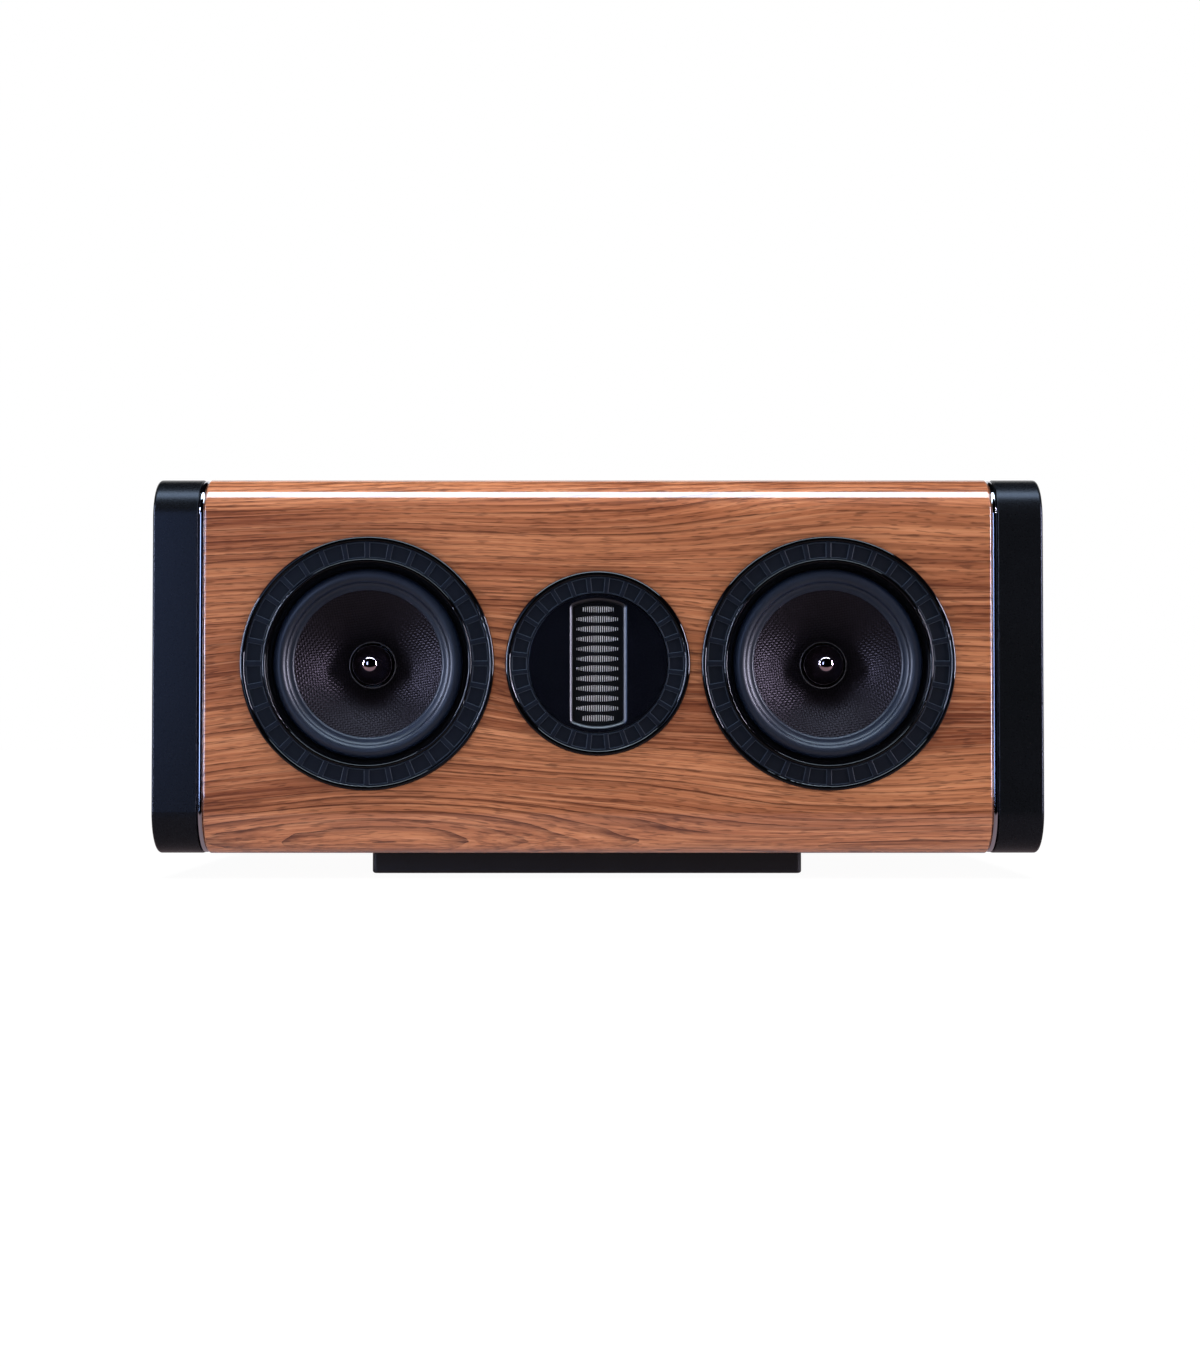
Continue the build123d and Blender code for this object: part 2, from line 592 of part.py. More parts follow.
# Tweeter: the slot outline is a lens with blunt tips
with BuildSketch() as slot:
    with BuildLine():
        ThreePointArc((-SLOT_W / 2, SLOT_TIP / 2), (0, SLOT_H / 2), (SLOT_W / 2, SLOT_TIP / 2))
        Line((SLOT_W / 2, SLOT_TIP / 2), (SLOT_W / 2, -SLOT_TIP / 2))
        ThreePointArc((SLOT_W / 2, -SLOT_TIP / 2), (0, -SLOT_H / 2), (-SLOT_W / 2, -SLOT_TIP / 2))
        Line((-SLOT_W / 2, -SLOT_TIP / 2), (-SLOT_W / 2, SLOT_TIP / 2))
    make_face()

with BuildSketch() as end_slot:
    with BuildLine():
        ThreePointArc((-SLOT_END_W / 2, SLOT_END_TIP / 2), (0, SLOT_H / 2), (SLOT_END_W / 2, SLOT_END_TIP / 2))
        Line((SLOT_END_W / 2, SLOT_END_TIP / 2), (SLOT_END_W / 2, -SLOT_END_TIP / 2))
        ThreePointArc((SLOT_END_W / 2, -SLOT_END_TIP / 2), (0, -SLOT_H / 2), (-SLOT_END_W / 2, -SLOT_END_TIP / 2))
        Line((-SLOT_END_W / 2, -SLOT_END_TIP / 2), (-SLOT_END_W / 2, SLOT_END_TIP / 2))
    make_face()

with BuildSketch() as slots:
    with GridLocations(0, SLOT_PITCH, 1, SLOTS - 2):
        add(slot.sketch)
    with GridLocations(0, SLOT_PITCH * (SLOTS - 1), 1, 2):
        add(end_slot.sketch)

spin = axis_of(front(0))
floor = PROUD - CHANNEL_DEPTH
with BuildPart() as tweeter_trim_ring:
    with BuildSketch(section(front(0))):
        with BuildLine():
            Polyline((TWEETER_PADS_OUT, PROUD - 1.1), (TWEETER_PADS_OUT, floor), (TWEETER_PADS_IN, floor),
                     (TWEETER_PADS_IN, -FLANGE_DROP), (TWEETER_FLANGE, -FLANGE_DROP), (TWEETER_FLANGE, 0),
                     (TWEETER_R, 0), (TWEETER_R, PROUD - 1.8))
            ThreePointArc((TWEETER_R, PROUD - 1.8), ((TWEETER_R + TWEETER_PADS_OUT) / 2 + 0.1, PROUD),
                          (TWEETER_PADS_OUT, PROUD - 1.1))
        make_face()
    revolve(axis=spin)
keep(tweeter_trim_ring, "tweeter_trim_ring")

tweeter_pads = pad_ring(front(0).offset(floor), TWEETER_PADS_IN + SLIP, TWEETER_PADS_OUT - SLIP, TWEETER_PADS,
                        turn=180 / TWEETER_PADS)
keep(tweeter_pads, "tweeter_pad_ring")

# Face plate: a raised disc with one tall window, softened at its front edge
with BuildPart() as tweeter_faceplate:
    with BuildSketch(front(0, TWEETER_BACK)):
        Circle(TWEETER_FLANGE)
    extrude(amount=FLANGE_T)
    with BuildSketch(front(0, FLANGE_DROP)):
        Circle(TWEETER_PADS_IN - SLIP)
    extrude(amount=FLANGE_DROP + DISC_RISE)
    fillet(tweeter_faceplate.faces().sort_by(Axis.Y)[0].edges(), radius=0.6)
    with BuildSketch(front(0, TWEETER_BACK)) as window:
        Circle(WINDOW_R)
        Rectangle(WINDOW_W, 4 * WINDOW_R, mode=Mode.INTERSECT)
        fillet(window.vertices(), radius=WINDOW_CORNER)
    extrude(amount=TWEETER_BACK + DISC_RISE, mode=Mode.SUBTRACT)
    fillet(tweeter_faceplate.faces().sort_by(Axis.Y)[0].inner_wires()[0].edges(), radius=WINDOW_EDGE)
    with BuildSketch(front(0, TWEETER_BACK)):
        Circle(GRILLE_R + SLIP)
        Rectangle(GRILLE_W + 2 * SLIP, 4 * GRILLE_R, mode=Mode.INTERSECT)
    extrude(amount=TWEETER_BACK - GRILLE_DROP, mode=Mode.SUBTRACT)
    with Locations(front(0, FLANGE_DROP)):
        with PolarLocations(TWEETER_CIRCLE, 4, start_angle=45):
            CounterSinkHole(SCREW_R + SCREW_GAP, SCREW_HEAD + SCREW_GAP + 0.3, depth=FLANGE_T + 1,
                            counter_sink_angle=90)
keep(tweeter_faceplate, "tweeter_faceplate")

# Slotted pole plate seen in the window
with BuildPart() as tweeter_grille:
    with BuildSketch(front(0, GRILLE_DROP)):
        Circle(GRILLE_R)
        Rectangle(GRILLE_W, 4 * GRILLE_R, mode=Mode.INTERSECT)
        add(slots.sketch, mode=Mode.SUBTRACT)
    extrude(amount=-GRILLE_T)
keep(tweeter_grille, "tweeter_grille")

# Pleated foil: a zigzag drawn from above and pulled up, held in a frame
pleat_top = Y_FRONT + TWEETER_BACK + SLIP
pleat_step = PLEAT_W / (2 * PLEATS)
pleat_front = [(-PLEAT_W / 2 + i * pleat_step, pleat_top + PLEAT_FOLD * (i % 2)) for i in range(2 * PLEATS + 1)]
pleat_back = [(px, py + PLEAT_SKIN) for px, py in reversed(pleat_front)]
with BuildPart() as tweeter_diaphragm:
    with BuildSketch(Plane.XY.offset(DRIVER_Z - PLEAT_H / 2)):
        with BuildLine():
            Polyline(*pleat_front, *pleat_back, close=True)
        make_face()
    extrude(amount=PLEAT_H)
keep(tweeter_diaphragm, "tweeter_diaphragm")

with BuildPart() as tweeter_frame:
    with BuildSketch(front(0, TWEETER_BACK)):
        Rectangle(PLEAT_W + 2 * FRAME_LAP, PLEAT_H + 1.5 * FRAME_LAP)
        Rectangle(PLEAT_W + 2 * SLIP, PLEAT_H + 2 * SLIP, mode=Mode.SUBTRACT)
    extrude(amount=-(PLEAT_FOLD + PLEAT_SKIN + 2 * SLIP))
keep(tweeter_frame, "tweeter_frame")

magnet_in = PLEAT_W / 2 + FRAME_LAP + 0.5
magnet_out = MOTOR_R * 0.8
with BuildPart() as tweeter_magnets:
    with BuildSketch(front(0, TWEETER_BACK)):
        with Locations((-(magnet_in + magnet_out) / 2, 0), ((magnet_in + magnet_out) / 2, 0)):
            Rectangle(magnet_out - magnet_in, MOTOR_R * 1.16)
    extrude(amount=-TWEETER_MOTOR_T)
keep(tweeter_magnets, "tweeter_magnets")

with BuildPart() as tweeter_rear_pole:
    with BuildSketch(front(0, REAR_POLE)):
        Circle(MOTOR_R)
        add(slots.sketch, mode=Mode.SUBTRACT)
    extrude(amount=-TWEETER_POLE_T)
keep(tweeter_rear_pole, "tweeter_rear_pole")

with BuildPart() as tweeter_rear_chamber:
    with BuildSketch(front(0, CHAMBER_AT)):
        Circle(MOTOR_R)
    extrude(amount=-CHAMBER_D)
    with BuildSketch(front(0, CHAMBER_AT)):
        Circle(MOTOR_R - CHAMBER_WALL)
    extrude(amount=-(CHAMBER_D - CHAMBER_WALL), mode=Mode.SUBTRACT)
    fillet(tweeter_rear_chamber.faces().sort_by(Axis.Y)[-1].edges(), radius=2.0)
keep(tweeter_rear_chamber, "tweeter_rear_chamber")

# Rear panel with openings for the port and the terminals
port_out = PORT_R + PORT_WALL + 5.0
with BuildPart() as rear_panel:
    with BuildSketch(rear(0, Z_MID)):
        RectangleRounded(PANEL_W, PANEL_H, PANEL_R)
        with Locations((0, PORT_LIFT)):
            Circle(port_out + SLIP, mode=Mode.SUBTRACT)
        with Locations((0, -TERMINAL_DROP)):
            RectangleRounded(POST_PITCH + 4 * NUT_R, 4 * NUT_R, 6.0, mode=Mode.SUBTRACT)
            with Locations(*plate_screws):
                Circle(SCREW_R + SCREW_GAP, mode=Mode.SUBTRACT)
    extrude(amount=-PANEL_T)
    with Locations(rear(0, Z_MID)):
        with Locations(*panel_screws):
            CounterSinkHole(SCREW_R + SCREW_GAP, SCREW_HEAD + SCREW_GAP + 0.3, depth=PANEL_T + 1,
                            counter_sink_angle=90)
keep(rear_panel, "rear_panel")

# Reflex port: one revolve, flared where it meets the back
port_at = rear(0, PORT_Z)
with BuildPart() as port_tube:
    with BuildSketch(section(port_at)):
        with BuildLine():
            Line((PORT_R, -PORT_L), (PORT_R, PORT_FLANGE_T - PORT_FLARE))
            RadiusArc((PORT_R, PORT_FLANGE_T - PORT_FLARE), (PORT_R + PORT_FLARE, PORT_FLANGE_T), PORT_FLARE)
            Polyline((PORT_R + PORT_FLARE, PORT_FLANGE_T), (PORT_FLANGE - 2, PORT_FLANGE_T), (PORT_FLANGE, PORT_FLANGE_T - 2),
                     (PORT_FLANGE, 0), (port_out, 0), (port_out, -PORT_WALL), (PORT_R + PORT_WALL, -PORT_FLARE),
                     (PORT_R + PORT_WALL, -PORT_L), (PORT_R, -PORT_L))
        make_face()
    revolve(axis=axis_of(port_at))
keep(port_tube, "port_tube")

# Terminals
with BuildPart() as terminal_plate:
    with BuildSketch(rear(0, TERMINAL_Z)):
        RectangleRounded(TERMINAL_W, TERMINAL_H, 8.0)
        with GridLocations(POST_PITCH, 0, 2, 1):
            Circle(POST_R + SLIP, mode=Mode.SUBTRACT)
    extrude(amount=TERMINAL_T)
    fillet(terminal_plate.faces().sort_by(Axis.Y)[-1].outer_wire().edges(), radius=1.0)
    with Locations(rear(0, TERMINAL_Z, TERMINAL_T)):
        with Locations(*plate_screws):
            CounterSinkHole(SCREW_R + SCREW_GAP, SCREW_HEAD + SCREW_GAP + 0.3, depth=TERMINAL_T + 1,
                            counter_sink_angle=90)
keep(terminal_plate, "terminal_plate")

with BuildPart() as terminal_nuts:
    with BuildSketch(rear(0, TERMINAL_Z)):
        with GridLocations(POST_PITCH, 0, 2, 1):
            RegularPolygon(NUT_R, 6)
            Circle(POST_R + FIT, mode=Mode.SUBTRACT)
    extrude(amount=-NUT_T)
keep(terminal_nuts, "terminal_nuts")

for colour, x in (("red", POST_PITCH / 2), ("black", -POST_PITCH / 2)):
    with BuildPart() as post:
        with BuildSketch(rear(x, TERMINAL_Z, -NUT_T - 8)):
            Circle(POST_R)
        extrude(amount=NUT_T + 8 + POST_TIP)
        with BuildSketch(rear(x, TERMINAL_Z, TERMINAL_T)):
            Circle(COLLAR_R)
        extrude(amount=COLLAR_T)
        with BuildSketch(rear(x, TERMINAL_Z, POST_TIP)):
            Circle(SOCKET_R)
        extrude(amount=-SOCKET_L, mode=Mode.SUBTRACT)
    keep(post, f"post_{colour}")

    with BuildPart() as clamp_ring:
        with BuildSketch(rear(x, TERMINAL_Z, CLAMP_AT)):
            Circle(CLAMP_R)
            Circle(POST_R + FIT, mode=Mode.SUBTRACT)
        extrude(amount=CLAMP_T)
    keep(clamp_ring, f"clamp_ring_{colour}")

    with BuildPart() as knob:
        with BuildSketch(rear(x, TERMINAL_Z, KNOB_AT)):
            Circle(KNOB_R)
        extrude(amount=KNOB_L)
        fillet(knob.faces().sort_by(Axis.Y)[-1].edges(), radius=1.2)
        with BuildSketch(rear(x, TERMINAL_Z, KNOB_AT)):
            Circle(POST_R + FIT)
            with PolarLocations(KNOB_R + 0.8, 10):
                Circle(1.6)
        extrude(amount=KNOB_L, mode=Mode.SUBTRACT)
    keep(knob, f"knob_{colour}")

# Crossover on the floor of the cabinet, under the port
board_y = BOARD_D / 2
with BuildPart() as crossover_board:
    with BuildSketch(Plane.XY.offset(FLOOR_Z + BOARD_LIFT)):
        with Locations((0, board_y)):
            RectangleRounded(BOARD_W, BOARD_D, 4.0)
    extrude(amount=BOARD_T)
keep(crossover_board, "crossover_board")

with BuildPart() as board_spacers:
    with BuildSketch(Plane.XY.offset(FLOOR_Z)):
        with Locations((0, board_y)):
            with GridLocations(BOARD_W - 12, BOARD_D - 12, 2, 2):
                Circle(4.0)
    extrude(amount=BOARD_LIFT)
keep(board_spacers, "board_spacers")

# Two coils in the front corners of the board and one between them, further back
coil_x = BOARD_W / 2 - COIL_OUT - BOARD_EDGE
coil_y = COIL_OUT + BOARD_EDGE
with BuildPart() as inductors:
    with BuildSketch(Plane.XY.offset(BOARD_Z)):
        with Locations((-coil_x, coil_y), (coil_x, coil_y), (0, coil_y + 1.8 * COIL_OUT)):
            Circle(COIL_OUT)
            Circle(COIL_IN, mode=Mode.SUBTRACT)
    extrude(amount=COIL_H)
keep(inductors, "inductors")

capacitor_at = [(BOARD_D - step * CAPACITOR_R, BOARD_Z + CAPACITOR_R + FIT) for step in (1.8, 4.4)]
with BuildPart() as capacitors:
    for start in (-BOARD_W / 2 + BOARD_EDGE, BOARD_W / 2 - BOARD_EDGE - CAPACITOR_L):
        with BuildSketch(Plane.YZ.offset(start)):
            with Locations(*capacitor_at):
                Circle(CAPACITOR_R)
        extrude(amount=CAPACITOR_L)
keep(capacitors, "capacitors")

resistor_at = [(0, BOARD_D - BOARD_EDGE - (0.6 + 1.6 * i) * RESISTOR_D) for i in range(2)]
with BuildPart() as resistors:
    with BuildSketch(Plane.XY.offset(BOARD_Z)):
        with Locations(*resistor_at):
            RectangleRounded(RESISTOR_W, RESISTOR_D, 1.0)
    extrude(amount=RESISTOR_H)
keep(resistors, "resistors")

# Wadding behind each woofer: it fills the room between a brace and an end cap's spigot
wadding_in = BRACE_X + BRACE_T / 2 + WADDING_BRACE
wadding_out = BODY_W / 2 - SPIGOT_IN - WADDING_ENDS
wadding_x = (wadding_in + wadding_out) / 2
wadding_y = Y_REAR - WALL - WADDING_BACK - WADDING_D / 2
with BuildPart() as wadding:
    with BuildSketch(Plane.XY.offset(FLOOR_Z + SOFT_GAP)):
        with Locations((-wadding_x, wadding_y), (wadding_x, wadding_y)):
            RectangleRounded(wadding_out - wadding_in, WADDING_D, WADDING_D / 5)
    extrude(amount=CAVITY_H - WADDING_HEAD)
    fillet(wadding.faces().filter_by(Axis.Z).edges(), radius=WADDING_D / 10)
keep(wadding, "wadding")
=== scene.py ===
# %% [markdown]
# A centre channel loudspeaker, dressed for a studio photograph.
# The solids come from CAD and stay exactly where they are. Blender adds what CAD can't show: veneer
# under lacquer, woven cones, soft rubber, folded foil, and the light of a black-walled studio.

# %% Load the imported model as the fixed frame
import json
import math

import bmesh
import bpy
from mathutils import Matrix, Vector
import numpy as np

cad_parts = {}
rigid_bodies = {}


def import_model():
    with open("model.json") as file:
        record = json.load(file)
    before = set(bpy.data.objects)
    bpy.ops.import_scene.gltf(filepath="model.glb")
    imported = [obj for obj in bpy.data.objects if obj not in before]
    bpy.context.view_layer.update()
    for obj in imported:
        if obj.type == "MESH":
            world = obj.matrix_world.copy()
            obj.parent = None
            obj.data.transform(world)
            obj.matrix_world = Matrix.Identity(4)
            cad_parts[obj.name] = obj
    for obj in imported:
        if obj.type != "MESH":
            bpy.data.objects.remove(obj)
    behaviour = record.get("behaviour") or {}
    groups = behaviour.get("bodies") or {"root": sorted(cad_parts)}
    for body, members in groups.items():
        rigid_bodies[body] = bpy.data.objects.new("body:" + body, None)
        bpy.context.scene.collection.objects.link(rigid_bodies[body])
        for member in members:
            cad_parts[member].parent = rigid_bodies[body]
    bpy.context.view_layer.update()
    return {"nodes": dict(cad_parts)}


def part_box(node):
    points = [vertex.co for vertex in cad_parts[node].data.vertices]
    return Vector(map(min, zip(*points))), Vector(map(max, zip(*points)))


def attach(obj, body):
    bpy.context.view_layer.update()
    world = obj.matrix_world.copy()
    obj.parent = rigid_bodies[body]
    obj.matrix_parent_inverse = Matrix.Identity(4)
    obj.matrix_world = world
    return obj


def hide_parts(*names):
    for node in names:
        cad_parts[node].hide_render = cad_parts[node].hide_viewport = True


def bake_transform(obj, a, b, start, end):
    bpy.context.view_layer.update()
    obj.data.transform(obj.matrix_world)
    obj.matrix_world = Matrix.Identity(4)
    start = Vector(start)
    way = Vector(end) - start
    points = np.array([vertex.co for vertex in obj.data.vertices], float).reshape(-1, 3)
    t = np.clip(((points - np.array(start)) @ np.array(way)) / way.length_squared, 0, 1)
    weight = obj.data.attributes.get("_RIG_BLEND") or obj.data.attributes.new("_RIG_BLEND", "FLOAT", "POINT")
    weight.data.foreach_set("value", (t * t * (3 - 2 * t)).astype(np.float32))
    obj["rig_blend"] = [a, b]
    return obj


for leftover in list(bpy.data.objects):
    bpy.data.objects.remove(leftover)
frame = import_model()
nodes = frame["nodes"]
scene = bpy.context.scene
MM = 0.001

# %% [markdown]
# Colours are picked as sRGB hex values, and Blender's sockets want linear light. One function
# does that, and one more adds a shader node with its settings and links, so that a material below
# reads as a list of what it is made of. A socket is named where its name is clear, and numbered where
# a node has several of the same name.

# %% Colour and node helpers
def linear(hex_colour):
    values = [int(hex_colour[i:i + 2], 16) / 255 for i in (1, 3, 5)]
    return tuple(v / 12.92 if v <= 0.04045 else ((v + 0.055) / 1.055) ** 2.4 for v in values) + (1.0,)


def add(tree, kind, sockets=None, stops=(), **settings):
    node = tree.nodes.new(kind)
    for key, value in settings.items():
        setattr(node, key, value)
    for key, value in (sockets or {}).items():
        if isinstance(value, bpy.types.NodeSocket):
            tree.links.new(value, node.inputs[key])
        else:
            node.inputs[key].default_value = value
    for i, (place, colour) in enumerate(stops):
        ramp = node.color_ramp.elements
        stop = ramp[i] if i < len(ramp) else ramp.new(place)
        stop.position = place
        stop.color = linear(colour)
    return node


def new_material(name):
    material = bpy.data.materials.new(name)
    material.use_nodes = True
    material.node_tree.nodes.clear()
    return material, material.node_tree


print("white in linear light:", linear("#ffffff"))

# %% [markdown]
# The cabinet is veneered in American walnut under clear gloss lacquer. A picture of wood could be wrapped
# round it, but grain drawn by noise has no seams and stays sharp close up. The grain flows: slow noise
# bends the height, and every other layer is drawn on that bent height, so that lines, fibre and pores
# keep together. Each layer is noise stretched along X, the way the grain runs.

# %% Walnut: the layers of its grain
BEND = 110 * MM
GRAIN = (
    # layer, its length along the grain and its width across it in mm, detail, roughness
    ("bend", 500, 154, 1.0, 0.5),
    ("tone", 714, 41.7, 4.0, 0.55),
    ("ripple", 100, 14.3, 2.0, 0.5),
    ("strong", 667, 10.53, 2.0, 0.5),
    ("fibre", 167, 2.38, 4.0, 0.65),
    ("pores", 12.5, 1.053, 1.0, 0.5),
)
walnut, tree = new_material("walnut_veneer_lacquered")
where = add(tree, "ShaderNodeTexCoord").outputs["Object"]
layers = {}
for name, length, width, detail, roughness in GRAIN:
    per_metre = (1 / (length * MM), 1 / (width * MM), 1 / (width * MM))
    placed = add(tree, "ShaderNodeMapping", {"Vector": where, "Scale": per_metre})
    noise = add(tree, "ShaderNodeTexNoise", {"Vector": placed.outputs["Vector"], "Scale": 1.0,
                                             "Detail": detail, "Roughness": roughness})
    layers[name] = noise.outputs["Fac"]
    if name == "bend":
        bent = add(tree, "ShaderNodeVectorMath", {0: layers[name], 1: (0.0, 0.0, BEND), 2: where},
                   operation="MULTIPLY_ADD")
        where = bent.outputs["Vector"]
print("walnut layers:", list(layers))

# %% [markdown]
# The growth lines are about 5 mm apart and run most of the width. Late wood darkens gradually through the
# season and stops short, so the lines are a saw wave, made steeper by a power. The veneer wraps over the
# rounded long edges, so the lines are counted along the depth as well, a little wider apart there.

# %% Walnut: the lines of late wood
LINE_GAP = 5.5 * MM
DEPTH_SHARE = 0.7
RIPPLE = 1.3  # in line gaps
STEEPNESS = 3.5
across = add(tree, "ShaderNodeVectorMath", {0: where, 1: (0.0, DEPTH_SHARE / LINE_GAP, 1 / LINE_GAP)},
             operation="DOT_PRODUCT")
lines = add(tree, "ShaderNodeMath", {0: layers["ripple"], 1: RIPPLE, 2: across.outputs["Value"]},
            operation="MULTIPLY_ADD")
saw = add(tree, "ShaderNodeMath", {0: lines.outputs[0]}, operation="FRACT")
steep = add(tree, "ShaderNodeMath", {0: saw.outputs[0], 1: STEEPNESS}, operation="POWER")
strong = add(tree, "ShaderNodeMapRange", {"Value": layers["strong"], "From Min": 0.31, "From Max": 0.54})
late = add(tree, "ShaderNodeMath", {0: steep.outputs[0], 1: strong.outputs[0]}, operation="MULTIPLY")
layers["late wood"] = late.outputs[0]
print("late wood every", LINE_GAP / MM, "mm")

# %% [markdown]
# The colours go on from the widest layer to the finest: first the slow change of tone, then the dark
# lines, pale and dark fibre, and open pores. The lacquer is a clear coat with its own sharp reflection, so
# it mirrors the studio without bleaching the wood below.

# %% Walnut: colours and lacquer
STREAKS = (
    # layer, where it begins and where it is full, strength, colour
    ("late wood", 0.0, 1.0, 0.95, "#3c1506"),
    ("fibre", 0.50, 0.66, 0.48, "#c98a64"),
    ("fibre", 0.48, 0.34, 0.55, "#451907"),
    ("pores", 0.55, 0.67, 0.50, "#300f04"),
)
tone = add(tree, "ShaderNodeValToRGB", {"Fac": layers["tone"]},
           stops=((0.32, "#713a21"), (0.48, "#915637"), (0.64, "#aa6c49")))
wood = tone.outputs["Color"]
for name, begins, full, strength, colour in STREAKS:
    mask = add(tree, "ShaderNodeMapRange", {"Value": layers[name], "From Min": begins, "From Max": full,
                                            "To Max": strength})
    # A colour Mix takes its two colours in sockets 6 and 7 and gives the result in output 2.
    mixed = add(tree, "ShaderNodeMix", {"Factor": mask.outputs[0], 6: wood, 7: linear(colour)},
                data_type="RGBA")
    wood = mixed.outputs[2]
skin = add(tree, "ShaderNodeBsdfPrincipled", {"Base Color": wood, "Roughness": 0.45, "IOR": 1.5,
                                              "Specular IOR Level": 0.15, "Coat Weight": 1.0,
                                              "Coat Roughness": 0.01, "Coat IOR": 1.8})
add(tree, "ShaderNodeOutputMaterial", {"Surface": skin.outputs["BSDF"]})
print("made", walnut.name, "with", len(STREAKS), "kinds of streak")

# %% [markdown]
# Most other finishes are plain: lacquer, paint, moulded plastic and rubber, plating. They could each be
# one flat colour, but a real surface never is. So one function gives every finish two close tones in slow
# clouds, and a fine grit that shakes its roughness and bump. The black finishes differ only in how they
# were made, and that shows in how sharp and how bright their reflections are.

# %% A function for plain finishes
CLOUD = 45.5 * MM
GRIT_HEIGHT = 0.1 * MM


def finish(name, dark, light, roughness, grit_mm, bump, metallic=0.0, spec=0.5, coat=0.0,
           rough_swing=0.08, tint="#ffffff"):
    material, tree = new_material(name)
    where = add(tree, "ShaderNodeTexCoord").outputs["Object"]
    grit = add(tree, "ShaderNodeTexNoise", {"Vector": where, "Scale": 1 / (grit_mm * MM), "Detail": 3.0})
    cloud = add(tree, "ShaderNodeTexNoise", {"Vector": where, "Scale": 1 / CLOUD, "Detail": 2.0})
    base = add(tree, "ShaderNodeValToRGB", {"Fac": cloud.outputs["Fac"]},
               stops=((0.3, dark), (0.7, light)))
    rough = add(tree, "ShaderNodeMapRange", {"Value": grit.outputs["Fac"],
                                             "To Min": roughness - rough_swing,
                                             "To Max": roughness + rough_swing})
    relief = add(tree, "ShaderNodeBump", {"Height": grit.outputs["Fac"], "Strength": bump,
                                          "Distance": GRIT_HEIGHT})
    skin = add(tree, "ShaderNodeBsdfPrincipled", {
        "Base Color": base.outputs["Color"], "Roughness": rough.outputs[0],
        "Normal": relief.outputs["Normal"], "Metallic": metallic, "Specular IOR Level": spec,
        "Specular Tint": linear(tint), "Coat Weight": coat, "Coat Roughness": 0.03})
    add(tree, "ShaderNodeOutputMaterial", {"Surface": skin.outputs["BSDF"]})
    return material


print("plain finishes have clouds of", CLOUD / MM, "mm")

# %% [markdown]
# These finishes show from the front. Each line gives two tones, a roughness, the size of the grit in
# millimetres and its bump, and then only what differs from an ordinary plastic. Typical values for the
# material come first and are then matched to the photograph.

# %% Finishes of the front
# Satin lacquer sprayed on board: black with a broad, cool, even sheen.
satin_lacquer = finish("satin_black_lacquer", "#08090b", "#0a0b0e", 0.28, 1.2, 0.02, spec=0.22,
                       rough_swing=0.03, tint="#dfe8ff")
# Flat paint rolled on board: nearly no sheen and a trace of the roller.
black_paint = finish("black_board_paint", "#070708", "#0b0b0d", 0.50, 0.9, 0.08)
# Rolled steel strip, polished: a sharp mirror line.
polished_band = finish("polished_steel_band", "#b9b9c0", "#c6c6cc", 0.06, 2.0, 0.0, metallic=1.0,
                       rough_swing=0.015)
# ABS from a polished mould: deep black with thin sharp reflections on its edges.
gloss_abs = finish("gloss_black_abs", "#020203", "#030304", 0.05, 3.0, 0.0, spec=0.40, rough_swing=0.015)
# Soft moulded rubber: blue-black and matt.
pad_rubber = finish("pad_rubber_moulded", "#050b18", "#070e1c", 0.45, 0.5, 0.10, spec=0.18)
# The same rubber on the floors of the pockets, darker as painted shade, and rougher.
pocket_painted_shade = finish("pad_pocket_rubber", "#040914", "#050b18", 0.50, 0.5, 0.12, spec=0.15)
# The same rubber on the rounded edges, paler as a painted highlight: a thin line round each pocket.
edge_painted_highlight = finish("pad_edge_rubber", "#141d2b", "#1a2533", 0.45, 0.5, 0.05, spec=0.3)
# Smooth moulded rubber of the surround: a long soft highlight along the roll.
roll_rubber = finish("surround_rubber_moulded", "#0b1324", "#0e182a", 0.40, 0.4, 0.04, spec=0.50,
                     rough_swing=0.05)
# Steel pole plates under thin black paint: dark between the slots.
pole_paint = finish("pole_plate_black_paint", "#020203", "#040405", 0.45, 0.4, 0.05, spec=0.2)
# Cured glue, smooth, with a small highlight; its pale grey is a painted highlight round the cone's neck.
glue_painted_highlight = finish("cured_glue_bead", "#44434a", "#4e4d54", 0.25, 1.0, 0.02, spec=0.8)
# Black chrome plating: a mirror that gives back a little less light, with a rosy cast.
black_chrome = finish("black_chrome_plating", "#c6b4bc", "#cfbdc5", 0.05, 3.0, 0.0, metallic=1.0,
                      rough_swing=0.01)
print("finishes so far:", [material.name for material in bpy.data.materials])

# %% [markdown]
# The back and the inside have finishes of their own. They are plainer to look at, but each is still named
# for what the real piece is made of.

# %% Finishes of the back and the inside
# ABS from an etched mould: an even satin black.
moulded_black = finish("moulded_black_abs", "#0b0b0c", "#101012", 0.48, 0.6, 0.12)
# Cast metal under powder coat: dark grey, slightly pebbled.
powder_black = finish("powder_coated_casting", "#131315", "#19191b", 0.55, 0.7, 0.20)
# Ferrite ground flat: dull charcoal.
ferrite = finish("ground_ferrite", "#2b2b2d", "#353537", 0.60, 0.8, 0.10)
# Zinc-plated steel: pale metal with a blurred reflection.
plated_steel = finish("zinc_plated_steel", "#9a9a98", "#adadaa", 0.32, 1.0, 0.04, metallic=1.0)
# Blackened steel: dark metal with a small glint.
blackened_screw = finish("blackened_screw_steel", "#1a1a1b", "#232324", 0.38, 0.6, 0.05, metallic=0.8)
# Gold plate on turned brass: warm and nearly a mirror.
gold_plate = finish("gold_plated_brass", "#d9b061", "#e2bd72", 0.20, 1.0, 0.02, metallic=1.0,
                    rough_swing=0.04)
# Enamelled copper wire: reddish metal, uneven from its many turns.
copper_wire = finish("enamelled_copper", "#b5643a", "#c2764a", 0.30, 0.8, 0.20, metallic=0.9)
# Raw fibre board: tan and dusty.
raw_board = finish("raw_fibre_board", "#a98a63", "#b89a72", 0.80, 0.8, 0.20)
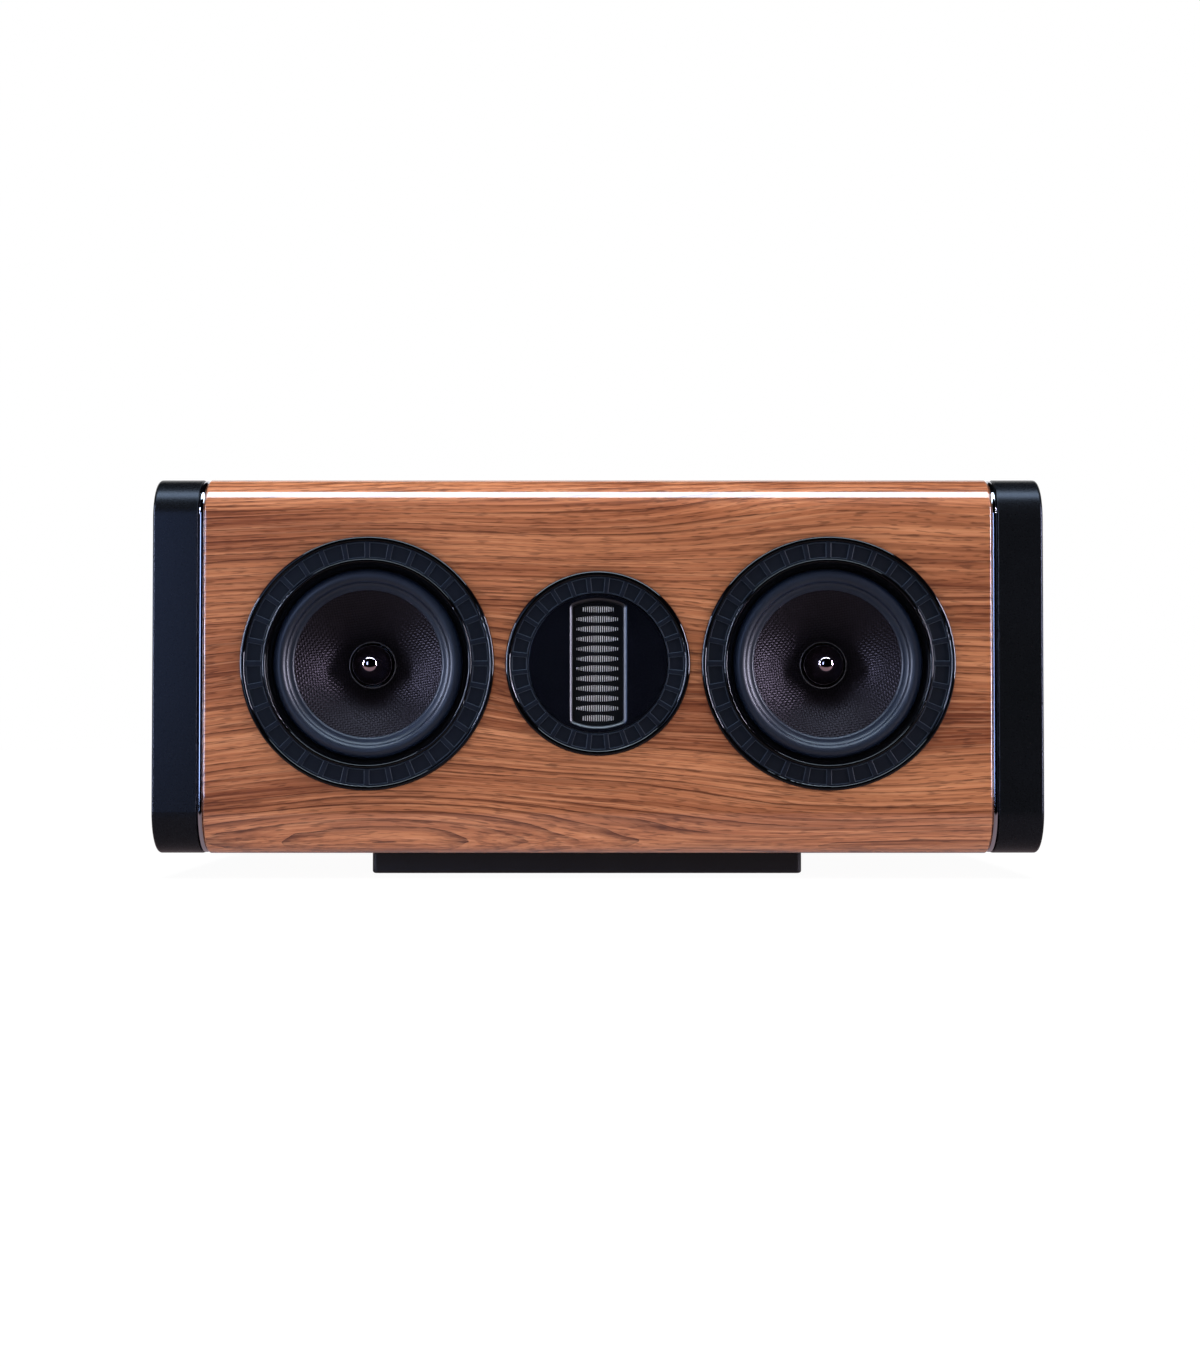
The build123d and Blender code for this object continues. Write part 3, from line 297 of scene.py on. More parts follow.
# Loose polyester fibre: off-white, with no shine at all.
loose_fibre = finish("loose_polyester_fibre", "#d6d5d0", "#e3e2dd", 0.95, 3.0, 0.90, spec=0.1)
# Closed-cell foam: dark grey and matt.
foam_strip = finish("closed_cell_foam", "#1b1b1c", "#252526", 0.85, 0.6, 0.40)
# Solder mask on a circuit board: green and half gloss.
solder_mask = finish("green_solder_mask", "#1f5a33", "#26663c", 0.40, 2.0, 0.05)
# Moulded capacitor case: brick red and half gloss.
capacitor_case = finish("moulded_capacitor_case", "#7d2a22", "#8d352b", 0.35, 1.0, 0.05)
# Cement resistor body: pale and chalky.
cement = finish("cement_resistor_body", "#d5d3cb", "#e0ded6", 0.85, 0.5, 0.30)
# Cotton cloth pressed with resin: amber and rough.
pressed_cloth = finish("resin_pressed_cloth", "#b08a3f", "#bf994e", 0.80, 0.7, 0.50)
# Polished acrylic: deep colour under a clear gloss.
red_acrylic = finish("red_knob_acrylic", "#a3131b", "#b01a22", 0.18, 1.5, 0.02, coat=0.6)
black_acrylic = finish("black_knob_acrylic", "#0c0c0d", "#121213", 0.18, 1.5, 0.02, coat=0.6)
print("plain finishes:", len(bpy.data.materials))

# %% [markdown]
# The tweeter's plate is anodised a satin black. Its window was rounded over and brushed by hand, so the
# rounded edge is rougher than the flat face and shows a broad soft highlight. Two materials would leave a
# hard line between them. Here the surface normal tells the two apart: it points straight along -Y on the
# face and turns away on the edge.

# %% Satin tweeter plate
PLATE_CLOUD = 25 * MM
FACE_ROUGHNESS = 0.18
EDGE_ROUGHNESS = 0.42
plate_anodised, tree = new_material("tweeter_plate_satin_black")
where = add(tree, "ShaderNodeTexCoord")
facing = add(tree, "ShaderNodeVectorMath", {0: where.outputs["Normal"], 1: (0.0, -1.0, 0.0)},
             operation="DOT_PRODUCT")
rough = add(tree, "ShaderNodeMapRange", {"Value": facing.outputs["Value"], "From Min": 0.98,
                                         "From Max": 0.88, "To Min": FACE_ROUGHNESS,
                                         "To Max": EDGE_ROUGHNESS})
cloud = add(tree, "ShaderNodeTexNoise", {"Vector": where.outputs["Object"], "Scale": 1 / PLATE_CLOUD,
                                         "Detail": 3.0})
base = add(tree, "ShaderNodeValToRGB", {"Fac": cloud.outputs["Fac"]},
           stops=((0.3, "#02030a"), (0.7, "#04050e")))
skin = add(tree, "ShaderNodeBsdfPrincipled", {"Base Color": base.outputs["Color"],
                                              "Roughness": rough.outputs[0], "Specular IOR Level": 1.0})
add(tree, "ShaderNodeOutputMaterial", {"Surface": skin.outputs["BSDF"]})
print("made", plate_anodised.name)

# %% [markdown]
# The cone is glass-fibre cloth, pressed and coated. Pressed cloth keeps its threads straight as seen
# along the driver's axis, so the weave is laid out on X and Z. Threads cross over and under in a checker,
# each with a round back that glints sideways: that is what makes the bright and dark sectors of a woven
# cone. The real threads lie about 0.7 mm apart, too fine for this picture, so they are drawn at 1.7 mm.

# %% Woven cone: the height of its threads
THREAD = 1.7 * MM
THREAD_HEIGHT = 0.30 * MM
CLOTH_TURN = math.radians(8)
cloth, tree = new_material("woven_glass_fibre_cone")
where = add(tree, "ShaderNodeTexCoord")
turned = add(tree, "ShaderNodeMapping", {"Vector": where.outputs["Object"],
                                         "Rotation": (0.0, CLOTH_TURN, 0.0),
                                         "Scale": (1 / THREAD, 0.0, 1 / THREAD)})
axes = add(tree, "ShaderNodeSeparateXYZ", {"Vector": turned.outputs["Vector"]})
backs = []
for axis in ("X", "Z"):
    angle = add(tree, "ShaderNodeMath", {0: axes.outputs[axis], 1: math.pi}, operation="MULTIPLY")
    wave = add(tree, "ShaderNodeMath", {0: angle.outputs[0]}, operation="SINE")
    back = add(tree, "ShaderNodeMath", {0: wave.outputs[0]}, operation="ABSOLUTE")
    backs.append(back.outputs[0])
flat_map = add(tree, "ShaderNodeCombineXYZ", {"X": axes.outputs["X"], "Y": axes.outputs["Z"], "Z": 0.5})
crossing = add(tree, "ShaderNodeTexChecker", {"Vector": flat_map.outputs["Vector"], "Scale": 1.0})
# A float Mix takes its two values in sockets 2 and 3 and gives the result in output 0.
weave = add(tree, "ShaderNodeMix", {"Factor": crossing.outputs["Fac"], 2: backs[0], 3: backs[1]},
            data_type="FLOAT")
height = weave.outputs[0]
print("threads every", THREAD / MM, "mm")

# %% [markdown]
# The coating fills the gaps between threads and dulls them, and the threads' backs stay smoother. So one
# height drives all three: a colour near black in the gaps and paler on the backs, which is partly the
# coating and partly painted shade between the threads, and a roughness that falls towards the top.

# %% Woven cone: colour and sheen
# Partly painted shade: near black in the gaps between threads, paler on their backs.
shade = add(tree, "ShaderNodeValToRGB", {"Fac": height},
            stops=((0.25, "#000001"), (0.60, "#060508"), (1.0, "#17151a")))
rough = add(tree, "ShaderNodeMapRange", {"Value": height, "From Min": 0.35, "From Max": 0.85,
                                         "To Min": 0.46, "To Max": 0.31})
relief = add(tree, "ShaderNodeBump", {"Height": height, "Strength": 0.7, "Distance": THREAD_HEIGHT})
skin = add(tree, "ShaderNodeBsdfPrincipled", {
    "Base Color": shade.outputs["Color"], "Roughness": rough.outputs[0],
    "Specular Tint": linear("#f2dff0"), "Specular IOR Level": 0.16, "Normal": relief.outputs["Normal"]})
add(tree, "ShaderNodeOutputMaterial", {"Surface": skin.outputs["BSDF"]})
print("made", cloth.name)

# %% [markdown]
# The voice coil is a bare aluminium former with copper wound on its inner end only. Where one ends and the
# other starts is a matter of depth, so depth along Y picks between the two.

# %% Voice coil
WINDING_STARTS = -106.5 * MM
WINDING_FULL = -106.0 * MM
WIRE_GAP = 0.63 * MM
WAVE_TURN = 20  # radians that Blender's wave texture turns for each unit of length
former, tree = new_material("aluminium_former_copper_winding")
where = add(tree, "ShaderNodeTexCoord")
apart = add(tree, "ShaderNodeSeparateXYZ", {"Vector": where.outputs["Object"]})
wound = add(tree, "ShaderNodeMapRange", {"Value": apart.outputs["Y"], "From Min": WINDING_STARTS,
                                         "From Max": WINDING_FULL})
turns = add(tree, "ShaderNodeTexWave", {"Vector": where.outputs["Object"], "Distortion": 0.0,
                                        "Scale": math.tau / (WAVE_TURN * WIRE_GAP)}, bands_direction="Y")
metal = add(tree, "ShaderNodeMix", {"Factor": wound.outputs[0], 6: linear("#77777d"),
                                    7: linear("#b5643a")}, data_type="RGBA")
relief = add(tree, "ShaderNodeBump", {"Height": turns.outputs["Fac"], "Strength": 0.3,
                                      "Distance": GRIT_HEIGHT})
skin = add(tree, "ShaderNodeBsdfPrincipled", {"Base Color": metal.outputs[2], "Metallic": 1.0,
                                              "Roughness": 0.3, "Normal": relief.outputs["Normal"]})
add(tree, "ShaderNodeOutputMaterial", {"Surface": skin.outputs["BSDF"]})
print("made", former.name)

# %% [markdown]
# The tweeter's diaphragm is a thin film with etched aluminium traces. The traces run along the backs of
# the folds, which catch the light through the slots, and the dark film lies in the valleys. So the colour
# falls with depth, from bright foil to black: the black is partly the film and partly painted shade in the
# valleys, and a slow crinkle keeps the foil from looking like sheet metal.

# %% Etched foil
FOIL_CRINKLE = 2.5 * MM
CRINKLE_HEIGHT = 0.2 * MM
PAINTED_SHADE_FROM = 0.55  # share of the folds' depth
foil_low, foil_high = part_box("tweeter_diaphragm")
foil, tree = new_material("etched_foil_on_film")
where = add(tree, "ShaderNodeTexCoord")
apart = add(tree, "ShaderNodeSeparateXYZ", {"Vector": where.outputs["Object"]})
painted_shade_y = foil_low.y + PAINTED_SHADE_FROM * (foil_high.y - foil_low.y)
depth = add(tree, "ShaderNodeMapRange", {"Value": apart.outputs["Y"], "From Min": foil_low.y,
                                         "From Max": painted_shade_y})
# Painted shade: the colour runs from bright foil at the front to near black deep in the valleys.
trace = add(tree, "ShaderNodeValToRGB", {"Fac": depth.outputs[0]},
            stops=((0.0, "#f8f8ff"), (0.28, "#dcdcf2"), (0.65, "#060608")))
crinkle = add(tree, "ShaderNodeTexNoise", {"Vector": where.outputs["Object"], "Scale": 1 / FOIL_CRINKLE,
                                           "Detail": 2.0})
relief = add(tree, "ShaderNodeBump", {"Height": crinkle.outputs["Fac"], "Strength": 0.2,
                                      "Distance": CRINKLE_HEIGHT})
skin = add(tree, "ShaderNodeBsdfPrincipled", {"Base Color": trace.outputs["Color"], "Metallic": 0.12,
                                              "Roughness": 0.4, "Normal": relief.outputs["Normal"]})
add(tree, "ShaderNodeOutputMaterial", {"Surface": skin.outputs["BSDF"]})
print("made", foil.name)

# %% [markdown]
# Every CAD node gets the finish of the real piece. The inner pieces are hidden in the closed cabinet,
# but someone may open it, so they are painted too. The two woofers are alike, so their pieces are listed
# once and painted on both sides.

# %% Paint the CAD nodes
paint = {
    walnut: ["cabinet_shell"],
    satin_lacquer: ["end_cap_left", "end_cap_right"],
    black_paint: ["plinth", "rear_panel"],
    polished_band: ["trim_band_left", "trim_band_right"],
    raw_board: ["brace_left", "brace_right"],
    loose_fibre: ["wadding"],
    moulded_black: ["port_tube", "terminal_plate", "board_spacers", "tweeter_frame",
                    "tweeter_rear_chamber"],
    gloss_abs: ["tweeter_trim_ring"],
    pad_rubber: ["tweeter_pad_ring"],
    plate_anodised: ["tweeter_faceplate"],
    pole_paint: ["tweeter_grille", "tweeter_rear_pole"],
    foil: ["tweeter_diaphragm"],
    plated_steel: ["tweeter_magnets"],
    foam_strip: ["driver_gaskets"],
    blackened_screw: ["driver_screws", "rear_panel_screws", "plinth_screws"],
    gold_plate: ["post_red", "post_black", "clamp_ring_red", "clamp_ring_black", "terminal_nuts"],
    red_acrylic: ["knob_red"],
    black_acrylic: ["knob_black"],
    solder_mask: ["crossover_board"],
    copper_wire: ["inductors"],
    capacitor_case: ["capacitors"],
    cement: ["resistors"],
}
woofer_paint = {
    powder_black: ["basket"],
    roll_rubber: ["surround"],
    cloth: ["cone"],
    former: ["voice_coil"],
    pressed_cloth: ["spider"],
    ferrite: ["magnet"],
    plated_steel: ["top_plate", "pole_yoke"],
    black_chrome: ["phase_plug"],
    gloss_abs: ["trim_ring"],
    pad_rubber: ["pad_ring"],
}
SIDES = ("left", "right")
for material, names in woofer_paint.items():
    both = [f"woofer_{side}_{name}" for side in SIDES for name in names]
    paint.setdefault(material, []).extend(both)
painted = set()
for material, names in paint.items():
    for name in names:
        nodes[name].data.materials.clear()
        nodes[name].data.materials.append(material)
        painted.add(name)
print("painted", len(painted), "nodes, unpainted:", sorted(set(nodes) - painted))

# %% [markdown]
# Some pieces need a softer hand than CAD gave them. One helper turns a finished bmesh into a piece of the
# object: it gets its finishes, rides on a body and takes the place of the CAD node it dresses.

# %% A helper for new pieces
def piece(name, shape, finishes, body, stands_for, smooth=True):
    bmesh.ops.recalc_face_normals(shape, faces=shape.faces)
    for face in shape.faces:
        face.smooth = smooth
    mesh = bpy.data.meshes.new(name)
    shape.to_mesh(mesh)
    shape.free()
    for material in finishes:
        mesh.materials.append(material)
    obj = bpy.data.objects.new(name, mesh)
    scene.collection.objects.link(obj)
    if body:
        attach(obj, body)
    if stands_for:
        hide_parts(stands_for)
    print(name, len(mesh.polygons), "faces")
    return obj


def middle(node):
    low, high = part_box(node)
    return (low + high) / 2


print("tweeter's middle:", middle("tweeter_faceplate"))

# %% [markdown]
# Nearly every new piece is round, so it is made as on a lathe: an outline is drawn in the half plane of
# X and Y and spun round the Y axis, which is the way the drivers point. An outline grows from one point:
# pushed straight, or spun over an arc. Spun points that meet at the seam or on the axis are welded.

# %% Helpers for drawing and turning an outline
WELD = 1e-6


def verts_of(geometry):
    return [item for item in geometry if isinstance(item, bmesh.types.BMVert)]


def push(shape, tip, place):
    fresh = bmesh.ops.extrude_vert_indiv(shape, verts=[tip])["verts"][0]
    fresh.co = place
    return fresh


def arc(shape, tip, centre, angle, steps):
    bend = bmesh.ops.spin(shape, geom=[tip], cent=centre, axis=(0, 0, 1), angle=angle, steps=steps)
    return verts_of(bend["geom_last"])[0]


def turn_round(shape, steps):
    bmesh.ops.spin(shape, geom=shape.verts[:] + shape.edges[:], cent=(0, 0, 0), axis=(0, 1, 0),
                   angle=math.tau, steps=steps, use_merge=True)
    bmesh.ops.remove_doubles(shape, verts=shape.verts, dist=WELD)


print("points closer than", WELD / MM, "mm are welded")

# %% [markdown]
# The pad ring is one moulding of soft rubber: a circle of shallow rectangular pockets with a rib between
# each two. Modelling one pocket and copying it round would leave seams. Here a radial edge is spun into a
# flat ring, eight steps to a pad, and its rims are pulled back into walls. One step in eight stays as the
# rib, and the other seven are the pad.

# %% Pad rings: the flat ring and its pads
PAD_STEPS = 8
FRONT_DEPTH = 0.1 * MM  # faces no deeper than this are on the front


def flat_ring(inner, outer, depth, steps):
    shape = bmesh.new()
    shape.edges.new([shape.verts.new((radius, 0.0, 0.0)) for radius in (inner, outer)])
    turn_round(shape, steps)
    bmesh.ops.recalc_face_normals(shape, faces=shape.faces)
    if shape.faces[:][0].normal.y > 0:
        bmesh.ops.reverse_faces(shape, faces=shape.faces)
    rim = [edge for edge in shape.edges if edge.is_boundary]
    walls = bmesh.ops.extrude_edge_only(shape, edges=rim)["geom"]
    bmesh.ops.translate(shape, vec=(0.0, depth, 0.0), verts=verts_of(walls))
    return shape


def faces_by_pad(shape, steps):
    pads = {}
    for face in shape.faces:
        spot = face.calc_center_median()
        step = round(math.atan2(spot.z, spot.x) / math.tau * steps - 0.5) % steps
        if abs(spot.y) < FRONT_DEPTH and step % PAD_STEPS:
            pads.setdefault(step // PAD_STEPS, []).append(face)
    return list(pads.values())


print("a pad is", PAD_STEPS - 1, "steps wide and a rib is 1")

# %% [markdown]
# Each pad is inset to leave a narrow land, then inset again and sunk, with a little draft as a moulding
# has. All sharp edges are rounded, and it is those that catch the light. The pockets' floors get a darker
# copy of the rubber as painted shade, and the rounded edges a paler copy as a painted highlight.

# %% Pad rings: sunk pockets and rounded edges
PAD_LAND = 0.7 * MM
PAD_DRAFT = 0.15 * MM
PAD_SINK = 0.9 * MM
PAD_ROUND = 0.22 * MM
SHARP = 0.7  # radians between two faces
PAD_FINISHES = [pad_rubber, pocket_painted_shade, edge_painted_highlight]


def pad_ring(node, count, width, shift):
    low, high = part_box(node)
    centre = middle(node)
    outer = (high.x - low.x) / 2
    steps = PAD_STEPS * count
    shape = flat_ring(outer - width, outer, high.y - low.y, steps)
    for faces in faces_by_pad(shape, steps):
        bmesh.ops.inset_region(shape, faces=faces, thickness=PAD_LAND, use_even_offset=True)
        bmesh.ops.inset_region(shape, faces=faces, thickness=PAD_DRAFT, depth=-PAD_SINK,
                               use_even_offset=True)
        # The pockets' floors take the darker copy of the rubber: painted shade.
        for face in faces:
            face.material_index = PAD_FINISHES.index(pocket_painted_shade)
    joined = [edge for edge in shape.edges if len(edge.link_faces) == 2]
    sharp = [edge for edge in joined if edge.calc_face_angle() > SHARP]
    rounded = bmesh.ops.bevel(shape, geom=sharp, offset=PAD_ROUND, offset_type="OFFSET", segments=2,
                              profile=0.5, affect="EDGES", material=-1)
    # The rounded edges take the paler copy of the rubber: a painted highlight.
    for face in rounded["faces"]:
        face.material_index = PAD_FINISHES.index(edge_painted_highlight)
    turn = Matrix.Rotation(math.pi / steps + shift * math.tau / count, 3, "Y")
    bmesh.ops.rotate(shape, cent=(0, 0, 0), matrix=turn, verts=shape.verts)
    bmesh.ops.translate(shape, vec=(centre.x, low.y, centre.z), verts=shape.verts)
    return piece("soft_" + node, shape, PAD_FINISHES, "cabinet", node, smooth=False)


# node, number of pads, width of the ring, and how far it is turned, in pads
for row in (("woofer_left_pad_ring", 32, 11.7 * MM, 0.0),
            ("woofer_right_pad_ring", 32, 11.7 * MM, 0.0),
            ("tweeter_pad_ring", 28, 11.4 * MM, 0.5)):
    pad_ring(*row)

# %% [markdown]
# The surround is a half-roll of rubber: its outer edge is glued to the frame and its inner edge to the
# cone, with a small lip that drops over the cone's edge. The outline is a point pushed along the frame,
# spun over half a circle and pushed on over the lip. It is turned round the driver's axis as a sheet, and
# only then given its thickness, so that inside and outside stay parallel.

# %% Surrounds: the roll
ROLL_OUT = 65.6 * MM
ROLL_IN = 56.3 * MM
LIP_OUT = 53.2 * MM
LIP_IN = 51.3 * MM
LIP_DROP = 0.6 * MM
ROLL_SKIN = 0.8 * MM
ROLL_STEPS = 20
ROLL_TURN_STEPS = 128


def roll(outer, glue_y):
    shape = bmesh.new()
    tip = shape.verts.new((outer, glue_y, 0.0))
    tip = push(shape, tip, (ROLL_OUT, glue_y, 0.0))
    tip = arc(shape, tip, ((ROLL_OUT + ROLL_IN) / 2, glue_y, 0.0), -math.pi, ROLL_STEPS)
    tip = push(shape, tip, (LIP_OUT, glue_y, 0.0))
    push(shape, tip, (LIP_IN, glue_y + LIP_DROP, 0.0))
    turn_round(shape, ROLL_TURN_STEPS)
    bmesh.ops.recalc_face_normals(shape, faces=shape.faces)
    if sum(face.normal.y * face.calc_area() for face in shape.faces) > 0:
        bmesh.ops.reverse_faces(shape, faces=shape.faces)
    bmesh.ops.solidify(shape, geom=shape.faces[:], thickness=ROLL_SKIN)
    return shape


print("roll is", (ROLL_OUT - ROLL_IN) / MM, "mm wide")

# %% [markdown]
# A surround bends as the cone moves. Points near the cone follow the cone and points near the frame stay.
# The blend is given along one radius, so the weights are then set by each point's own radius, on a smooth
# curve that leaves both edges without a kink.

# %% Surrounds: follow the cone
def surround(side):
    node = f"woofer_{side}_surround"
    low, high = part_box(node)
    centre = middle(node)
    glue_y = high.y - ROLL_SKIN
    shape = roll((high.x - low.x) / 2, glue_y)
    bmesh.ops.translate(shape, vec=(centre.x, 0.0, centre.z), verts=shape.verts)
    obj = piece("roll_surround_" + side, shape, [roll_rubber], None, node)
    start = (centre.x + ROLL_OUT, glue_y, centre.z)
    end = (centre.x + ROLL_IN, glue_y, centre.z)
    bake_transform(obj, "cabinet", f"woofer_{side}_piston", start, end)
    weights = obj.data.attributes["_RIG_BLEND"].data
    for vert in obj.data.vertices:
        radius = math.hypot(vert.co.x - centre.x, vert.co.z - centre.z)
        part = min(max((ROLL_OUT - radius) / (ROLL_OUT - ROLL_IN), 0.0), 1.0)
        weights[vert.index].value = part * part * (3 - 2 * part)
    return obj


for side in SIDES:
    surround(side)

# %% [markdown]
# The bullet in the middle of the woofer is turned and plated in black chrome, with a round nose that runs
# into a long flank. A scaled ball would come close, but its mirror would bend the highlights wrongly. Two
# arcs that meet without a kink draw the true outline: a point is spun round the nose's centre, then round
# the flank's. The flank's radius is worked out so that it ends upright at the bullet's own radius.

# %% Bullets
NOSE_R = 7.7 * MM
NOSE_TURN = math.radians(48)
FLANK_TURN = math.pi / 2 - NOSE_TURN
COLLAR = 2 * MM
STEM_STEP = 3.0 * MM
NOSE_STEPS = 12
FLANK_STEPS = 16
TURN_STEPS = 96


def bullet(side):
    node = f"woofer_{side}_phase_plug"
    low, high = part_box(node)
    centre = middle(node)
    body_r = (high.x - low.x) / 2
    flank_r = (body_r - NOSE_R * math.sin(NOSE_TURN)) / (1 - math.sin(NOSE_TURN))
    flank_y = low.y + NOSE_R - (NOSE_R - flank_r) * math.cos(NOSE_TURN)
    shape = bmesh.new()
    tip = shape.verts.new((0.0, low.y, 0.0))
    tip = arc(shape, tip, (0.0, low.y + NOSE_R, 0.0), NOSE_TURN, NOSE_STEPS)
    tip = arc(shape, tip, (body_r - flank_r, flank_y, 0.0), FLANK_TURN, FLANK_STEPS)
    collar_y = tip.co.y + COLLAR
    stem_r = body_r - STEM_STEP
    stem_y = collar_y + STEM_STEP
    for place in ((body_r, collar_y, 0), (stem_r, stem_y, 0), (stem_r, high.y, 0), (0, high.y, 0)):
        tip = push(shape, tip, place)
    turn_round(shape, TURN_STEPS)
    bmesh.ops.translate(shape, vec=(centre.x, 0.0, centre.z), verts=shape.verts)
    print("bullet", side, "has a flank of radius", round(flank_r / MM, 1), "mm")
    return piece("gloss_bullet_" + side, shape, [black_chrome], "cabinet", node)


for side in SIDES:
    bullet(side)

# %% [markdown]
# A bead of hard glue joins the cone's neck to the voice coil. It is a thin ring, so it is a small circle
# turned round the axis, and it goes where the cone goes.

# %% Glue beads at the cone's neck
BEAD_R = 0.35 * MM
BEAD_SEGMENTS = 12
NECK_R = 16.35 * MM


def neck_bead(side):
    coil_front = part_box(f"woofer_{side}_voice_coil")[0].y
    centre = middle(f"woofer_{side}_cone")
    shape = bmesh.new()
    ring = bmesh.ops.create_circle(shape, segments=BEAD_SEGMENTS, radius=BEAD_R)
    bmesh.ops.translate(shape, vec=(NECK_R, coil_front, 0.0), verts=ring["verts"])
    turn_round(shape, TURN_STEPS)
    bmesh.ops.translate(shape, vec=(centre.x, 0.0, centre.z), verts=shape.verts)
    # Its pale grey finish is a painted highlight.
    return piece("neck_bead_" + side, shape, [glue_painted_highlight], f"woofer_{side}_piston", None)


for side in SIDES:
    neck_bead(side)

# %% [markdown]
# The diaphragm is folded like an accordion, and each fold is a tight half-turn, not a knife edge. One fold
# is drawn with two half-circle spins, a narrow one in front and a wide one in the valley. It is copied
# along the row, welded and pulled up to its height.

# %% Folded foil
FOLDS = 20
BACK_SHARE = 0.19  # radius of a fold's back as a share of the fold
VALLEY_SHARE = 0.31
FOLD_STEPS = 8
fold = (foil_high.x - foil_low.x) / FOLDS
back_r = BACK_SHARE * fold
valley_r = VALLEY_SHARE * fold
shape = bmesh.new()
corner = shape.verts.new((foil_low.x, foil_high.y - valley_r, foil_low.z))
for bend_r, level, sense in ((back_r, foil_low.y + back_r, 1), (valley_r, foil_high.y - valley_r, -1)):
    top = push(shape, corner, (corner.co.x, level, corner.co.z))
    corner = arc(shape, top, (top.co.x + bend_r, level, foil_low.z), sense * math.pi, FOLD_STEPS)
one_fold = shape.verts[:] + shape.edges[:]
for i in range(1, FOLDS):
    copy = bmesh.ops.duplicate(shape, geom=one_fold)["geom"]
    bmesh.ops.translate(shape, vec=(fold * i, 0.0, 0.0), verts=verts_of(copy))
bmesh.ops.remove_doubles(shape, verts=shape.verts, dist=WELD)
pulled = bmesh.ops.extrude_edge_only(shape, edges=shape.edges[:])["geom"]
bmesh.ops.translate(shape, vec=(0.0, 0.0, foil_high.z - foil_low.z), verts=verts_of(pulled))
piece("folded_foil", shape, [foil], "cabinet", "tweeter_diaphragm")

# %% [markdown]
# Gloss black is photographed on white paper in a room with black walls. The world is white where the
# camera, a mirror or glass looks past the object, and a plain grey level of light elsewhere.

# %% World
GREY_LEVEL = 0.16
scene.view_settings.view_transform = "Standard"
world = bpy.data.worlds.new("studio_world")
scene.world = world
world.use_nodes = True
tree = world.node_tree
tree.nodes.clear()
path = add(tree, "ShaderNodeLightPath")
seen = add(tree, "ShaderNodeMath", {0: path.outputs["Is Camera Ray"], 1: path.outputs["Is Glossy Ray"]},
           operation="MAXIMUM")
seen = add(tree, "ShaderNodeMath", {0: seen.outputs[0], 1: path.outputs["Is Transmission Ray"]},
           operation="MAXIMUM")
level = add(tree, "ShaderNodeMapRange", {"Value": seen.outputs[0], "To Min": GREY_LEVEL, "To Max": 1.0})
sky = add(tree, "ShaderNodeBackground", {"Color": linear("#ffffff"), "Strength": level.outputs[0]})
add(tree, "ShaderNodeOutputWorld", {"Surface": sky.outputs["Background"]})
print("made", world.name)

# %% [markdown]
# The floor is white paper, and it does three jobs. The camera sees it white, with the object's soft shadow,
# turning to pure white away from the object so that no horizon shows. To soft light it is a light table
# that lifts the underside. To gloss it is a dim sheet that ends a short way in front of the object and is
# a little brighter on either side of it. Light Path tells the three apart.

# %% Floor: what the camera, soft light and gloss each see
FADE_FROM, FADE_TO = 0.5, 1.5
WHITE_NEAR, WHITE_FAR = 0.96, 1.0
TABLE_STRENGTH = 0.34
BESIDE_FROM, BESIDE_TO = 0.24, 0.29
MIRROR_BELOW, MIRROR_BESIDE = 0.28, 0.35
PAPER_EDGE, PAPER_FULL = -0.40, -0.34
sweep, tree = new_material("white_sweep")
where = add(tree, "ShaderNodeTexCoord").outputs["Object"]
apart = add(tree, "ShaderNodeSeparateXYZ", {"Vector": where})
away = add(tree, "ShaderNodeVectorMath", {0: where}, operation="LENGTH")
fade = add(tree, "ShaderNodeMapRange", {"Value": away.outputs["Value"], "From Min": FADE_FROM,
                                        "From Max": FADE_TO, "To Min": WHITE_NEAR, "To Max": WHITE_FAR})
white = add(tree, "ShaderNodeEmission", {"Color": linear("#ffffff"), "Strength": fade.outputs[0]})
shade_only = add(tree, "ShaderNodeBsdfDiffuse", {"Color": linear("#4b4b4b")})
for_camera = add(tree, "ShaderNodeAddShader", {0: shade_only.outputs["BSDF"],
                                               1: white.outputs["Emission"]})
matt = add(tree, "ShaderNodeBsdfDiffuse", {"Color": linear("#f2f2f2")})
table = add(tree, "ShaderNodeEmission", {"Color": linear("#ffffff"), "Strength": TABLE_STRENGTH})
for_light = add(tree, "ShaderNodeAddShader", {0: matt.outputs["BSDF"], 1: table.outputs["Emission"]})
aside = add(tree, "ShaderNodeMath", {0: apart.outputs["X"]}, operation="ABSOLUTE")
beside = add(tree, "ShaderNodeMapRange", {"Value": aside.outputs[0], "From Min": BESIDE_FROM,
                                          "From Max": BESIDE_TO, "To Min": MIRROR_BELOW,
                                          "To Max": MIRROR_BESIDE})
near = add(tree, "ShaderNodeMapRange", {"Value": apart.outputs["Y"], "From Min": PAPER_EDGE,
                                        "From Max": PAPER_FULL})
image = add(tree, "ShaderNodeMath", {0: near.outputs[0], 1: beside.outputs[0]}, operation="MULTIPLY")
for_gloss = add(tree, "ShaderNodeEmission", {"Color": linear("#ffe4ec"), "Strength": image.outputs[0]})
path = add(tree, "ShaderNodeLightPath")
unseen = add(tree, "ShaderNodeMixShader", {0: path.outputs["Is Glossy Ray"],
                                           1: for_light.outputs["Shader"],
                                           2: for_gloss.outputs["Emission"]})
paper = add(tree, "ShaderNodeMixShader", {0: path.outputs["Is Camera Ray"],
                                          1: unseen.outputs["Shader"],
                                          2: for_camera.outputs["Shader"]})
add(tree, "ShaderNodeOutputMaterial", {"Surface": paper.outputs["Shader"]})
print("made", sweep.name)

# %% [markdown]
# The floor and the cards of the studio are flat panels. One helper makes a panel from a grid: stretched to
# its size, turned to face the right way and put in its place. None of them belongs to the object.

# %% Panels of the studio
FLAT = Matrix.Identity(3)
UPRIGHT = Matrix.Rotation(math.pi / 2, 3, "X")
SIDEWAYS = Matrix.Rotation(math.pi / 2, 3, "Z") @ UPRIGHT
FLOOR_SIZE = 24.0


